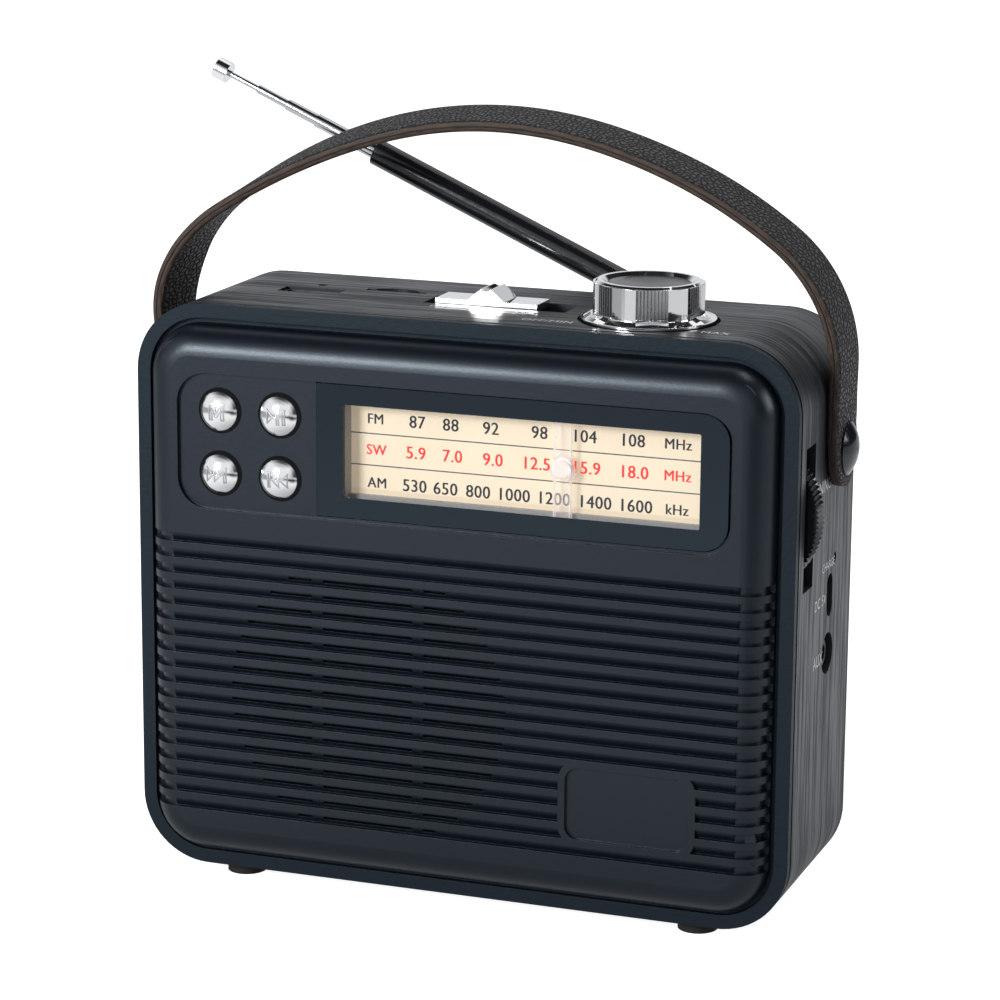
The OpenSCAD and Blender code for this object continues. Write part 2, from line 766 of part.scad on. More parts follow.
module volume_pot() {
    color([0.45, 0.46, 0.48]) difference() {
        union() {
            bar_z(8.2, z_under - 8, z_under, knob_x, knob_y);
            bar_z(3.5, z_under - eps, z_top + 1.2, knob_x, knob_y);
            for (dx = [-5, 0, 5]) {
                x = knob_x + dx;
                block([x - 0.5, knob_y + 4, top_board_z], [x + 0.5, knob_y + 4.8, z_under - 7]);
            }
        }
        bar_z(shaft_r + run, z_under - 6.3, z_top + 2, knob_x, knob_y);
    }
}

module pot_nut() {
    color([0.7, 0.7, 0.72]) difference() {
        translate([knob_x, knob_y, z_top - 1.2]) cylinder(r = 5.6, h = 1.8, $fn = 6);
        bar_z(3.5 + run, z_top - 2, z_top + 2, knob_x, knob_y);
    }
}

module band_slider() {
    color([0.86, 0.87, 0.89]) {
        block([slider_x - slider_l / 2, slider_y - slider_w / 2, slider_z],
              [slider_x + slider_l / 2, slider_y + slider_w / 2, slider_z + slider_t]);
        translate([slider_x, slider_y + slider_w / 2, slider_z + slider_t - eps]) rotate([90, 0, 0]) {
            linear_extrude(slider_w) {
                polygon([[-4.4, 0], [-1.4, 2.7], [-1, 2.7], [0, 2.2], [1, 2.7], [1.4, 2.7], [4.4, 0]]);
            }
        }
        block([slider_x - 1.5, slider_y - 1.5, z_top - 8], [slider_x + 1.5, slider_y + 1.5, slider_z + eps]);
    }
}

module band_switch() {
    color([0.62, 0.63, 0.64]) difference() {
        union() {
            block([slot_x0 + 2, slider_y - 4, z_top - 11], [slot_x1 - 2, slider_y + 4, z_top - 4]);
            for (i = [-4 : 4]) for (dy = [-2.5, 2.5]) {
                block([0.7 + i * 3 - 0.4, slider_y + dy - 0.3, top_board_z],
                      [0.7 + i * 3 + 0.4, slider_y + dy + 0.3, z_top - 11 + eps]);
            }
        }
        block([slider_x - 4.2, slider_y - 1.8, z_top - 8.4], [slider_x + 8.4, slider_y + 1.8, z_top]);
    }
}

button_board_y = y_inner + 6.4;
button_end = button_board_y - 3 - button_travel - 0.2;

// Domed button cap with a retaining flange
module button(col, row) {
    r = button_d / 2;
    dome = 1.6;
    top = y_face - button_out;
    steps = 6;
    cap_r = (r * r + dome * dome) / (2 * dome);
    span = asin(r / cap_r);
    arc = [for (i = [0 : steps]) [cap_r * sin(span * i / steps), cap_r * (1 - cos(span * i / steps))]];
    translate([-x_side + button_x[col], top, recess_z1 - button_z[row]]) rotate([-90, 0, 0]) {
        color([0.86, 0.87, 0.89]) rotate_extrude() {
            polygon(concat(arc, [[r, y_inner + fit - top], [r + 0.9, y_inner + fit - top],
                                 [r + 0.9, y_inner + 1.2 - top], [1.6, y_inner + 1.2 - top],
                                 [1.6, button_end - top], [0, button_end - top]]));
        }
    }
}
module mode_button() { button(0, 0); }
module play_button() { button(1, 0); }
module next_button() { button(0, 1); }
module previous_button() { button(1, 1); }

module button_board() {
    color([0.10, 0.30, 0.16]) {
        block([-x_side + 17.5, button_board_y, recess_z1 - 32],
              [-x_side + 41.6, button_board_y + board_t, recess_z1 + 0.4]);
    }
}

module tact_switches() {
    color([0.30, 0.30, 0.32]) for (dx = button_x) for (dz = button_z) {
        x = -x_side + dx;
        z = recess_z1 - dz;
        block([x - 3, button_board_y - 2.2, z - 3], [x + 3, button_board_y, z + 3]);
        bar_y(1.6, button_board_y - 3, button_board_y - 2.2 + eps, x, z);
    }
}

// Solid of revolution about the speaker axis, profile as [radius, depth behind the flange]
module speaker_turn(profile) {
    translate([speaker_x, speaker_y0, speaker_z]) rotate([-90, 0, 0]) rotate_extrude() polygon(profile);
}

module speaker_frame() {
    color([0.35, 0.36, 0.38]) difference() {
        speaker_turn([[speaker_r - 3, 0], [speaker_r, 0], [speaker_r, flange_t], [speaker_r - 2.2, flange_t],
                      [magnet_r + 2, basket_d], [12, basket_d],
                      [12, basket_d - 1], [magnet_r + 1, basket_d - 1],
                      [speaker_r - 4, flange_t], [speaker_r - 4, 0.6], [speaker_r - 3, 0.6]]);
        for (a = [0 : 60 : 300]) {
            translate([speaker_x, speaker_y0 + basket_d / 2, speaker_z]) rotate([0, a, 0]) {
                translate([speaker_r - 8, 0, 0]) cube([12, basket_d - 5, 12], center = true);
            }
        }
    }
}

module speaker_magnet() {
    color([0.16, 0.16, 0.17]) {
        bar_y(magnet_r, speaker_y0 + basket_d, speaker_y0 + basket_d + magnet_t, speaker_x, speaker_z);
        back = speaker_y0 + basket_d + magnet_t;
        bar_y(magnet_r - 3, back - eps, back + 2, speaker_x, speaker_z);
    }
}

module speaker_cone() {
    r = speaker_r - 3.2;
    color([0.13, 0.13, 0.13]) {
        speaker_turn([[r, 0.1], [r - 3, 0.5], [r - 4.6, 1.1], [11.2, 9.4], [0, 6.4], [0, 7],
                      [11.2, 10.1], [r - 4.6, 1.8], [r - 3, 1.2], [r - 0.9, 0.55], [r, 0.55]]);
    }
}

module main_board() {
    color([0.10, 0.32, 0.18]) difference() {
        block([main_x0, main_y0, main_z0], [main_x1, main_y1, main_z1]);
        for (p = main_posts) bar_y(1.5, main_y0 - 1, main_y1 + 1, p[0], p[1]);
    }
}

module board_components() {
    x = main_x0;
    z = main_z0;
    color([0.15, 0.15, 0.16]) {
        for (c = [[12, 14, 10, 5], [14, 40, 8, 8], [28, 12, 7, 7], [12, 62, 10, 5], [26, 62, 7, 7]]) {
            block([x + c[0], main_y1, z + c[1]], [x + c[0] + c[2], main_y1 + 1.8, z + c[1] + c[3]]);
        }
        for (c = [[32, 30], [26, 76], [12, 76], [16, 27], [40, 10]]) {
            bar_y(3.2, main_y1, main_y1 + 9, x + c[0], z + c[1]);
        }
    }
}

module board_screws() {
    color([0.7, 0.7, 0.72]) {
        for (p = main_posts) {
            bar_y(2.5, main_y1, main_y1 + 1.6, p[0], p[1]);
            bar_y(1.2, main_y0 - 6, main_y1 + eps, p[0], p[1]);
        }
        for (p = top_bosses) {
            bar_z(2.5, top_board_z - board_t - 1.6, top_board_z - board_t, p[0], p[1]);
            bar_z(1.2, top_board_z - board_t - eps, top_board_z + 6, p[0], p[1]);
        }
        for (a = [45 : 90 : 315]) {
            x = speaker_x + clamp_r * cos(a);
            z = speaker_z + clamp_r * sin(a);
            bar_y(4.6, speaker_y0 + flange_t, speaker_y0 + flange_t + 1.4, x, z);
            bar_y(1.2, y_inner, speaker_y0 + flange_t + eps, x, z);
        }
    }
}

module top_board() {
    color([0.10, 0.32, 0.18]) difference() {
        block([-x_side + 22, y_rim + 13, top_board_z - board_t], [knob_x + 15, y_rim + 37.4, top_board_z]);
        for (p = top_bosses) bar_z(1.5, top_board_z - 3, top_board_z + 1, p[0], p[1]);
    }
}

module usb_socket() {
    color([0.75, 0.76, 0.78]) {
        difference() {
            block([usb_x - 6.8, usb_y - 2.8, top_board_z], [usb_x + 6.8, usb_y + 2.8, z_top - 0.6]);
            block([usb_x - 6.4, usb_y - 2.4, top_board_z + 1.5], [usb_x + 6.4, usb_y + 2.4, z_top]);
        }
        block([usb_x - 5.6, usb_y + 0.2, top_board_z + 1.5 - eps], [usb_x + 5.6, usb_y + 2, z_top - 1.6]);
    }
}

module card_socket() {
    color([0.70, 0.71, 0.73]) difference() {
        block([card_x - 7.6, card_y - 1.4, top_board_z], [card_x + 7.6, card_y + 1.4, z_under - 0.2]);
        block([card_x - 6.8, card_y - 0.6, top_board_z + 1.5], [card_x + 6.8, card_y + 0.6, z_top]);
    }
}

module usb_c_socket() {
    color([0.75, 0.76, 0.78]) {
        difference() {
            usb_c_body(x_side - 9.1, x_side - 1.9, 1.65, 2.82);
            usb_c_body(x_side - 7.8, x_side, 1.35, 2.82);
        }
        block([x_side - 7.9, usbc_y - 0.35, usbc_z - 3.3], [x_side - 3, usbc_y + 0.35, usbc_z + 3.3]);
        for (dz = [-1, 1]) {
            z = usbc_z + dz * 3.6;
            block([x_side - 8.8, main_y1, z - 0.5], [x_side - 6.2, usbc_y - 1.4, z + 0.5]);
        }
    }
}

// Stadium-shaped shell of the small charging socket
module usb_c_body(x0, x1, r, half) {
    for (dz = [-half, half]) bar_x(r, x0, x1, usbc_y, usbc_z + dz);
    block([x0, usbc_y - r, usbc_z - half], [x1, usbc_y + r, usbc_z + half]);
}

module aux_jack() {
    color([0.12, 0.12, 0.13]) difference() {
        union() {
            block([x_side - 16, main_y1, aux_z - 3.2], [x_side - wall - 0.3, aux_y + 3, aux_z + 3.2]);
            bar_x(3, x_side - wall - 0.3 - eps, x_side - 1, aux_y, aux_z);
        }
        bar_x(1.8, x_side - 15, x_side, aux_y, aux_z);
    }
}

module charge_led() {
    color([0.9, 0.3, 0.2]) {
        bar_x(1.05, x_side - 8, x_side - 0.4, led_y, led_z);
        block([x_side - 8, main_y1, led_z - 0.8], [x_side - 6.4, led_y, led_z + 0.8]);
    }
}

rod_z = top_board_z - board_t - 11;
rod_y = y_rim + 37;
rod_r = 4;
rod_half = 45;
holders_x = [-32, 30];

module ferrite_rod() {
    color([0.20, 0.19, 0.18]) bar_x(rod_r, -rod_half, rod_half, rod_y, rod_z);
}

module ferrite_coil() {
    color([0.72, 0.42, 0.20]) difference() {
        bar_x(rod_r + 1.6, -14, 10, rod_y, rod_z);
        bar_x(rod_r + run, -15, 11, rod_y, rod_z);
    }
}

module rod_holders() {
    color([0.85, 0.85, 0.80]) for (x = holders_x) difference() {
        block([x - 1.5, rod_y - 6, rod_z - 5.6], [x + 1.5, rod_y + 6, top_board_z - board_t]);
        bar_x(rod_r + run, x - 2, x + 2, rod_y, rod_z);
    }
}

module battery_cell() {
    color([0.25, 0.45, 0.62]) {
        bar_x(cell_d / 2, cell_x - cell_l / 2, cell_x + cell_l / 2, cell_y, cell_z);
        bar_x(3, cell_x + cell_l / 2 - eps, cell_x + cell_l / 2 + 0.6, cell_y, cell_z);
    }
}

module battery_contacts() {
    color([0.80, 0.80, 0.78]) for (sx = [-1, 1]) {
        x = cell_x + sx * (cell_l / 2 + 1.1);
        block([x - 0.25, cell_y - 4, cell_z - 4], [x + 0.25, cell_y + 4, cell_z + 4]);
    }
}

// Right half of the strap's curve, moved out by d: crown, shoulder and side
function strap_half(d) = let (
    n = 8,
    c1 = [0, strap_rise - crown_r],
    c2 = c1 + (crown_r - shoulder_r) * [sin(crown_a), cos(crown_a)],
    out = strap_mid - 79.1)
    concat(
        [for (i = [0 : n]) let (a = crown_a * i / n) c1 + (crown_r + d) * [sin(a), cos(a)] + [out * i / n, 0]],
        [for (i = [1 : n]) let (a = crown_a + (shoulder_a - crown_a) * i / n)
            c2 + (shoulder_r + d) * [sin(a), cos(a)] + [out, 0]],
        [[strap_mid + d, 4], [strap_mid + d, 0]]);

function mirrored(p) = [for (i = [len(p) - 1 : -1 : 1]) [-p[i][0], p[i][1]]];

module strap() {
    outer = strap_half(strap_t / 2);
    inner = strap_half(-strap_t / 2);
    ring = concat(mirrored(outer), outer, [for (i = [len(inner) - 1 : -1 : 0]) inner[i]],
                  [for (i = [1 : len(inner) - 1]) [-inner[i][0], inner[i][1]]]);
    color([0.17, 0.16, 0.15]) translate([0, rivet_y, rivet_z]) rotate([strap_lean, 0, 0]) difference() {
        union() {
            translate([0, strap_w / 2, 0]) rotate([90, 0, 0]) linear_extrude(strap_w) polygon(ring);
            for (x = [-strap_x - strap_t, strap_x]) bar_x(strap_w / 2, x, x + strap_t, 0, 0);
        }
        for (x = [-strap_x - strap_t - 1, strap_x - 1]) bar_x(rivet_r + run, x, x + strap_t + 2, 0, 0);
    }
}

module strap_rivets() {
    dome = 2;
    r = rivet_d / 2;
    ball = (r * r + dome * dome) / (2 * dome);
    x_head = strap_x + strap_t + fit;
    color([0.06, 0.06, 0.07]) for (sx = [-1, 1]) {
        translate([0, rivet_y, rivet_z]) rotate([0, sx * 90, 0]) {
            translate([0, 0, x_side - wall - 1.8]) {
                cylinder(r = rivet_r, h = strap_t + wall + 1.8 + 2 * fit + eps);
            }
            translate([0, 0, x_side - wall - 1.8]) cylinder(r = 4, h = 1.7);
            intersection() {
                translate([0, 0, x_head + dome - ball]) sphere(ball, $fn = 96);
                translate([0, 0, x_head]) cylinder(r = r, h = dome + 1);
            }
        }
    }
}

// Places children at the antenna pivot, with local Z along the antenna
module along_antenna() {
    translate([antenna_x, antenna_y, antenna_z]) rotate([0, antenna_tilt - 90, 0]) children();
}

module antenna_base() {
    cheek = 1.8;
    gap = tongue_t + 4 * run;
    color([0.08, 0.08, 0.09]) {
        bar_y(6, cover_back + fit, cover_back + 1.5, antenna_x, antenna_z);
        difference() {
            bar_y(3, cover_y - 5, cover_back + 1, antenna_x, antenna_z);
            bar_y(1.2, cover_y - 6, cover_back - 4, antenna_x, antenna_z);
        }
        bar_y(4.5, cover_y - 5, cover_y - 3.2, antenna_x, antenna_z);
        along_antenna() for (s = [-1, 1]) difference() {
            translate([s * (gap + cheek) / 2, 0, 0]) rotate([0, 90, 0]) {
                cylinder(r = 3, h = cheek, center = true);
                translate([-3, -3, -cheek / 2]) cube([6, 3, cheek]);
            }
            rotate([0, 90, 0]) cylinder(r = 1 + run, h = 20, center = true);
        }
    }
}

module antenna_pin() {
    color([0.75, 0.76, 0.78]) along_antenna() rotate([0, 90, 0]) cylinder(r = 1, h = 6.6, center = true);
}

module antenna_sleeve() {
    color([0.06, 0.06, 0.07]) along_antenna() difference() {
        union() {
            translate([0, 0, knuckle_l]) cylinder(d = sleeve_d, h = sleeve_l - knuckle_l);
            rotate([0, 90, 0]) cylinder(r = 2.1, h = tongue_t, center = true);
            translate([-tongue_t / 2, -2.1, 0]) cube([tongue_t, 4.2, knuckle_l + 1]);
        }
        rotate([0, 90, 0]) cylinder(r = 1 + run, h = 20, center = true);
        translate([0, 0, knuckle_l + 3]) cylinder(d = section_d[0] + 2 * run, h = sleeve_l);
    }
}

// Telescope section number k, counted from the thickest
module antenna_section(k) {
    z1 = sleeve_l + (k + 1) * section_show;
    z_low = z1 - section_show - section_in + k * 4;
    color([0.85, 0.86, 0.88]) along_antenna() difference() {
        translate([0, 0, z_low]) cylinder(d = section_d[k], h = z1 - z_low);
        if (section_bore[k] > 0) {
            translate([0, 0, z_low - 1]) cylinder(d = section_bore[k], h = z1 - z_low + 2);
        }
    }
}
module antenna_section_1() { antenna_section(0); }
module antenna_section_2() { antenna_section(1); }
module antenna_section_3() { antenna_section(2); }
module antenna_section_4() { antenna_section(3); }
module antenna_section_5() { antenna_section(4); }

module antenna_tip() {
    color([0.85, 0.86, 0.88]) along_antenna() translate([0, 0, sleeve_l + section_n * section_show]) {
        cylinder(d = tip_d, h = tip_l);
    }
}

cabinet();
front_panel();
rear_cover();
battery_door();
feet();
case_screws();
dial_lens();
dial_scale();
dial_frame();
pointer_rail();
dial_pointer();
pointer_carriage();
dial_cord();
cord_pulley();
tuning_wheel();
tuning_shaft();
wheel_screw();
tuning_pot();
volume_knob();
knob_insert();
volume_shaft();
volume_pot();
pot_nut();
band_slider();
band_switch();
mode_button();
play_button();
next_button();
previous_button();
button_board();
tact_switches();
speaker_frame();
speaker_magnet();
speaker_cone();
main_board();
board_components();
board_screws();
top_board();
usb_socket();
card_socket();
usb_c_socket();
aux_jack();
charge_led();
ferrite_rod();
ferrite_coil();
rod_holders();
battery_cell();
battery_contacts();
strap();
strap_rivets();
antenna_base();
antenna_pin();
antenna_sleeve();
antenna_section_1();
antenna_section_2();
antenna_section_3();
antenna_section_4();
antenna_section_5();
antenna_tip();
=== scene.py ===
# %% [markdown]
# A portable radio with a leather strap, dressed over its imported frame. All sizes are in metres, in the
# frame's own axes: X to the right, Y to the back and Z up from the table. The hard pieces keep their CAD
# solids and get procedural finishes. The strap, the dial print, the window trim and the small signs are
# meshes made here.

# %% Load the frame
import bpy
import bmesh
import json
import math
from mathutils import Matrix, Vector


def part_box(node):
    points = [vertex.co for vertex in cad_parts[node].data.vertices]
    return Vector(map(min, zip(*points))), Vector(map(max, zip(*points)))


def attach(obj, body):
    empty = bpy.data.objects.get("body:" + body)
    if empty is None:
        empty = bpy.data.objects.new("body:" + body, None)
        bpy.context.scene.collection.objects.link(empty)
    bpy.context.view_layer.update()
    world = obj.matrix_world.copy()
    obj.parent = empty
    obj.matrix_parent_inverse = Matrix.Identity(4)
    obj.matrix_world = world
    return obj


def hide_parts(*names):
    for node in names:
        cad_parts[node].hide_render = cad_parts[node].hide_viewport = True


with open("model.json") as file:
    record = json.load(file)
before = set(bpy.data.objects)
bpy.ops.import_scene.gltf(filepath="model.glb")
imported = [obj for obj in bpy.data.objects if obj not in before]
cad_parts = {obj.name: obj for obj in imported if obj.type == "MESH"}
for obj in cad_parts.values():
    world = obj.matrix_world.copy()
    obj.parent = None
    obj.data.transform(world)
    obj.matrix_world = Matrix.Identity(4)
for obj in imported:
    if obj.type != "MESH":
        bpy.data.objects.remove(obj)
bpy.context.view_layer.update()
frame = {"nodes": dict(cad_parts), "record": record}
MM = 0.001
nodes = frame["nodes"]


def middle(name):
    """Middle of a node's box."""
    low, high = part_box(name)
    return (low + high) / 2


# %% [markdown]
# Shader maths reads better as arithmetic. A Wire is one value in a node tree and can be added, subtracted
# and multiplied like a number. A Tree makes any other node from its type, its settings and its sockets, and
# a Paint is the tree of one material around a Principled shader.

# %% Shader kit


class Wire:
    """One shader value that works like a number."""

    def __init__(self, tree, socket):
        self.tree = tree
        self.socket = socket

    def math(self, operation, other=0.0):
        return self.tree.node("ShaderNodeMath", {"operation": operation}, {0: self, 1: other})

    def __add__(self, other):
        return self.math("ADD", other)

    def __mul__(self, other):
        return self.math("MULTIPLY", other)

    def __sub__(self, other):
        return self.math("SUBTRACT", other)

    def __rsub__(self, other):
        return self.tree.node("ShaderNodeMath", {"operation": "SUBTRACT"}, {0: other, 1: self})

    __radd__ = __add__
    __rmul__ = __mul__

    def power(self, other):
        return self.math("POWER", other)

    def between(self, low, high, to_low=0.0, to_high=1.0):
        """A soft step from to_low at low to to_high at high."""
        sockets = {"Value": self, "From Min": low, "From Max": high, "To Min": to_low, "To Max": to_high}
        return self.tree.node("ShaderNodeMapRange", {"interpolation_type": "SMOOTHSTEP"}, sockets)


class Tree:
    """A node tree whose nodes are made by one method."""

    def __init__(self, tree):
        self.tree = tree

    def node(self, kind, settings, sockets, out=0):
        made = self.tree.nodes.new(kind)
        for key, value in settings.items():
            setattr(made, key, value)
        for key, value in sockets.items():
            if isinstance(value, Wire):
                self.tree.links.new(value.socket, made.inputs[key])
            else:
                made.inputs[key].default_value = value
        return Wire(self, made.outputs[out])

    def mix(self, factor, low, high):
        """Colour from low to high."""
        made = self.tree.nodes.new("ShaderNodeMix")
        made.data_type = "RGBA"
        self.tree.links.new(factor.socket, made.inputs["Factor"])
        for name, value in (("A", low), ("B", high)):
            target = [s for s in made.inputs if s.name == name and s.type == "RGBA"][0]
            if isinstance(value, Wire):
                self.tree.links.new(value.socket, target)
            else:
                target.default_value = (*value, 1.0)
        return Wire(self, [s for s in made.outputs if s.type == "RGBA"][0])

    def seen_by(self, ray):
        return self.node("ShaderNodeLightPath", {}, {}, out="Is %s Ray" % ray)

    def axes(self, coordinates="Object"):
        where = self.node("ShaderNodeTexCoord", {}, {}, out=coordinates)
        return [self.node("ShaderNodeSeparateXYZ", {}, {"Vector": where}, out=axis) for axis in "XYZ"]


class Paint(Tree):
    """One procedural material around a Principled shader."""

    def __init__(self, name, **constants):
        self.material = bpy.data.materials.new(name)
        self.material.use_nodes = True
        super().__init__(self.material.node_tree)
        self.shader = self.tree.nodes["Principled BSDF"]
        for socket, value in constants.items():
            self.shader.inputs[socket.replace("_", " ")].default_value = value

    def feed(self, socket, value):
        self.tree.links.new(value.socket, self.shader.inputs[socket])

    def place(self, stretch=(1.0, 1.0, 1.0), coordinates="Object"):
        where = self.node("ShaderNodeTexCoord", {}, {}, out=coordinates)
        return self.node("ShaderNodeMapping", {}, {"Vector": where, "Scale": stretch})

    def noise(self, size, detail=3.0, rough=0.55, stretch=(1.0, 1.0, 1.0), coordinates="Object"):
        where = self.place(stretch, coordinates)
        sockets = {"Vector": where, "Scale": 1.0 / size, "Detail": detail, "Roughness": rough}
        return self.node("ShaderNodeTexNoise", {}, sockets)

    def creases(self, along, across):
        """Distance to the nearest crease of a pebbled skin, on the piece's own UV map in metres."""
        where = self.place((1.0 / along, 1.0 / across, 1.0), "UV")
        settings = {"voronoi_dimensions": "2D", "feature": "DISTANCE_TO_EDGE"}
        return self.node("ShaderNodeTexVoronoi", settings, {"Vector": where, "Scale": 1.0})

    def from_axis(self, centre, first, second):
        """Distance from an axis through centre, measured in the plane of two axes."""
        axes = self.axes()
        a = axes[first] - centre[first]
        b = axes[second] - centre[second]
        return (a * a + b * b).power(0.5)

    def bump(self, height, depth, edge=0.0):
        """Surface relief, with sharp edges softened by a small radius where edge is given."""
        sockets = {"Height": height, "Distance": depth}
        if edge:
            sockets["Normal"] = self.node("ShaderNodeBevel", {"samples": 4}, {"Radius": edge}, out="Normal")
        self.feed("Normal", self.node("ShaderNodeBump", {}, sockets))

    def clear_mix(self, share, tint, solid):
        """Shows the solid shader by share, and what lies behind it for the rest."""
        clear = self.node("ShaderNodeBsdfTransparent", {}, {"Color": (*tint, 1.0)}, out="BSDF")
        mixed = self.node("ShaderNodeMixShader", {}, {0: share, 1: clear, 2: solid}, out="Shader")
        self.tree.links.new(mixed.socket, self.tree.nodes["Material Output"].inputs["Surface"])


print("shader kit ready")

# %% [markdown]
# The front is a blue-black moulding with a fine eroded grain, coarser on the rim, so the relief takes its
# strength from the depth of the surface. A little blue in the specular tint gives the cold sheen, because a
# black body shows almost nothing but reflections, and a clear coat that fades on the rim gives the shoulder
# its white line. Other mouldings are plain black with a finer grain.

# %% Mouldings
cabinet_low, cabinet_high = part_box("cabinet")
RIM_THICK = 3 * MM
RIM_Y = cabinet_low.y - RIM_THICK
RIM_FADE = (1.0 * MM, 0.2 * MM)
COLD = (0.63, 0.82, 1.0, 1.0)
NEUTRAL = (1.0, 1.0, 1.0, 1.0)


def shade(colour, factor):
    """The same colour, darker or lighter."""
    return tuple(c * factor for c in colour)


def moulded(name, colour, roughness, grain=0.4 * MM, depth=0.012 * MM, level=0.5, edge=0.0, tint=NEUTRAL):
    paint = Paint(name, Specular_IOR_Level=level, Specular_Tint=tint)
    fine = paint.noise(grain, detail=2.0)
    cloud = paint.noise(18 * MM, detail=2.0)
    paint.feed("Base Color", paint.mix(cloud, shade(colour, 0.85), shade(colour, 1.15)))
    paint.feed("Roughness", fine.between(0.3, 0.7, roughness - 0.05, roughness + 0.06))
    paint.bump(fine, depth, edge)
    return paint.material


def front_plastic():
    paint = Paint("front_plastic", Specular_IOR_Level=0.28, Specular_Tint=COLD, Coat_Roughness=0.36)
    deep = paint.axes()[1]
    rim = deep.between(RIM_Y - RIM_FADE[0], RIM_Y - RIM_FADE[1])
    fine = paint.noise(0.32 * MM, detail=2.0)
    peel = paint.noise(0.95 * MM, detail=1.0)
    cloud = paint.noise(25 * MM, detail=2.0)
    paint.feed("Base Color", paint.mix(cloud, (0.0020, 0.0042, 0.0076), (0.0028, 0.0052, 0.0092)))
    paint.feed("Roughness", fine.between(0.3, 0.7, 0.30, 0.40) + rim * 0.16)
    paint.feed("Coat Weight", rim.between(0.0, 1.0, 0.36, 0.05))
    paint.bump(fine * 0.5 + peel * (rim * 0.7 + 0.5), 0.042 * MM, edge=0.2 * MM)
    return paint.material


print("rim lies at", round(RIM_Y / MM, 2), "mm")

# %% [markdown]
# The sleeve wears a dark wood-grain film whose streaks run round the case: along X on the top and along Z
# on the sides. Noise squeezed along Y and drawn out along the other axes gives them without a seam. The
# pores are rough and the film between them is smooth, so the grain shows best where the light grazes it.

# %% Wood film


def wood_film():
    paint = Paint("wood_film", Specular_IOR_Level=0.5, Specular_Tint=(0.80, 0.90, 1.0, 1.0))
    along = (0.03, 1.0, 0.03)
    pore = paint.noise(0.5 * MM, detail=2.0, rough=0.6, stretch=along)
    streak = paint.noise(1.3 * MM, detail=2.0, stretch=along)
    wide = paint.noise(8 * MM, detail=2.0, stretch=(0.08, 1.0, 0.08))
    grain = (pore * 0.40 + streak * 0.45 + wide * 0.15).between(0.36, 0.62)
    paint.feed("Base Color", paint.mix(grain, (0.004, 0.004, 0.005), (0.016, 0.017, 0.020)))
    paint.feed("Roughness", grain.between(0.0, 1.0, 0.60, 0.34))
    paint.bump(grain, 0.02 * MM)
    return paint.material


print("wood film streaks run along X and Z")

# %% [markdown]
# Bright metal is all reflection. Its colour is nearly white, its roughness small, and a soft edge catches
# the light as a plated edge does. The dish of the volume knob is spun metal with fine rings about the
# knob's axis.

# %% Metals
KNOB_AXIS = middle("volume_knob")
SPUN_PITCH = 0.4 * MM


def polished(name, colour, roughness, edge=0.0):
    paint = Paint(name, Metallic=1.0)
    cloud = paint.noise(6 * MM, detail=3.0)
    paint.feed("Base Color", paint.mix(cloud, shade(colour, 0.95), colour))
    paint.feed("Roughness", cloud.between(0.3, 0.7, roughness * 0.7, roughness * 1.3))
    paint.bump(cloud, 0.002 * MM, edge)
    return paint.material


def spun_metal():
    paint = Paint("spun_metal", Metallic=1.0)
    ring = (paint.from_axis(KNOB_AXIS, 0, 1) * (2 * math.pi / SPUN_PITCH)).math("SINE")
    paint.feed("Base Color", paint.mix(ring.between(-1.0, 1.0), (0.07, 0.07, 0.075), (0.13, 0.13, 0.135)))
    paint.feed("Roughness", ring.between(-1.0, 1.0, 0.26, 0.34))
    paint.bump(ring, 0.006 * MM)
    return paint.material


print("knob axis at", [round(v / MM, 1) for v in KNOB_AXIS])

# %% [markdown]
# The strap is two layers of leather glued back to back. Its faces are pebbled: small cells, longer across
# the strap than along it, with dark creases between, drawn on the strap's own UV map so that they follow
# its bend. The dark of the creases is painted shade, and the broad folds are painted darker where they
# sink. The cut edges are raw brown fibre.

# %% Leather
PEBBLE_ALONG = 1.15 * MM
PEBBLE_ACROSS = 1.9 * MM


def leather():
    paint = Paint("strap_leather", Specular_IOR_Level=0.5)
    crease = paint.creases(PEBBLE_ALONG, PEBBLE_ACROSS).between(0.0, 0.36)
    fold = paint.noise(5 * MM, detail=3.0, coordinates="UV")
    hair = paint.noise(0.25 * MM, detail=2.0, coordinates="UV")
    # Painted shade: the leather is darker where the broad folds sink, with the same noise as their relief
    top = paint.mix(fold, (0.015, 0.015, 0.017), (0.028, 0.028, 0.031))
    # Painted shade: the creases are painted near black
    paint.feed("Base Color", paint.mix(crease, (0.002, 0.002, 0.002), top))
    paint.feed("Roughness", crease.between(0.0, 1.0, 0.75, 0.44))
    paint.bump(crease * 0.8 + hair * 0.12 + fold * 0.5, 1.2 * MM)
    return paint.material


def raw_edge():
    paint = Paint("strap_edge", Specular_IOR_Level=0.3)
    fibre = paint.noise(0.4 * MM, detail=4.0, stretch=(0.12, 1.0, 1.0), coordinates="UV")
    brown = paint.mix(fibre.between(0.3, 0.7), (0.022, 0.014, 0.011), (0.088, 0.060, 0.047))
    paint.feed("Base Color", brown)
    paint.feed("Roughness", fibre.between(0.3, 0.7, 0.55, 0.75))
    paint.bump(fibre, 0.1 * MM)
    return paint.material


print("leather cells are", round(PEBBLE_ALONG / MM, 2), "by", round(PEBBLE_ACROSS / MM, 2), "mm")

# %% [markdown]
# The dial paper glows a little, a painted glow that keeps it bright, and it darkens at its left and lower
# ends, painted shade where the window's walls shade it. The ink glows with the paper, also a painted glow.
# The pointer is a clear strip with a round bubble: white by share, with a faint painted glow, painted
# highlights that make it brighter along its edges and in the bubble, painted shade in a ring at the
# bubble's rim, and see-through for the rest.

# %% Dial finishes
scale_low, scale_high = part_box("dial_scale")
lens_low, lens_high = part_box("dial_lens")
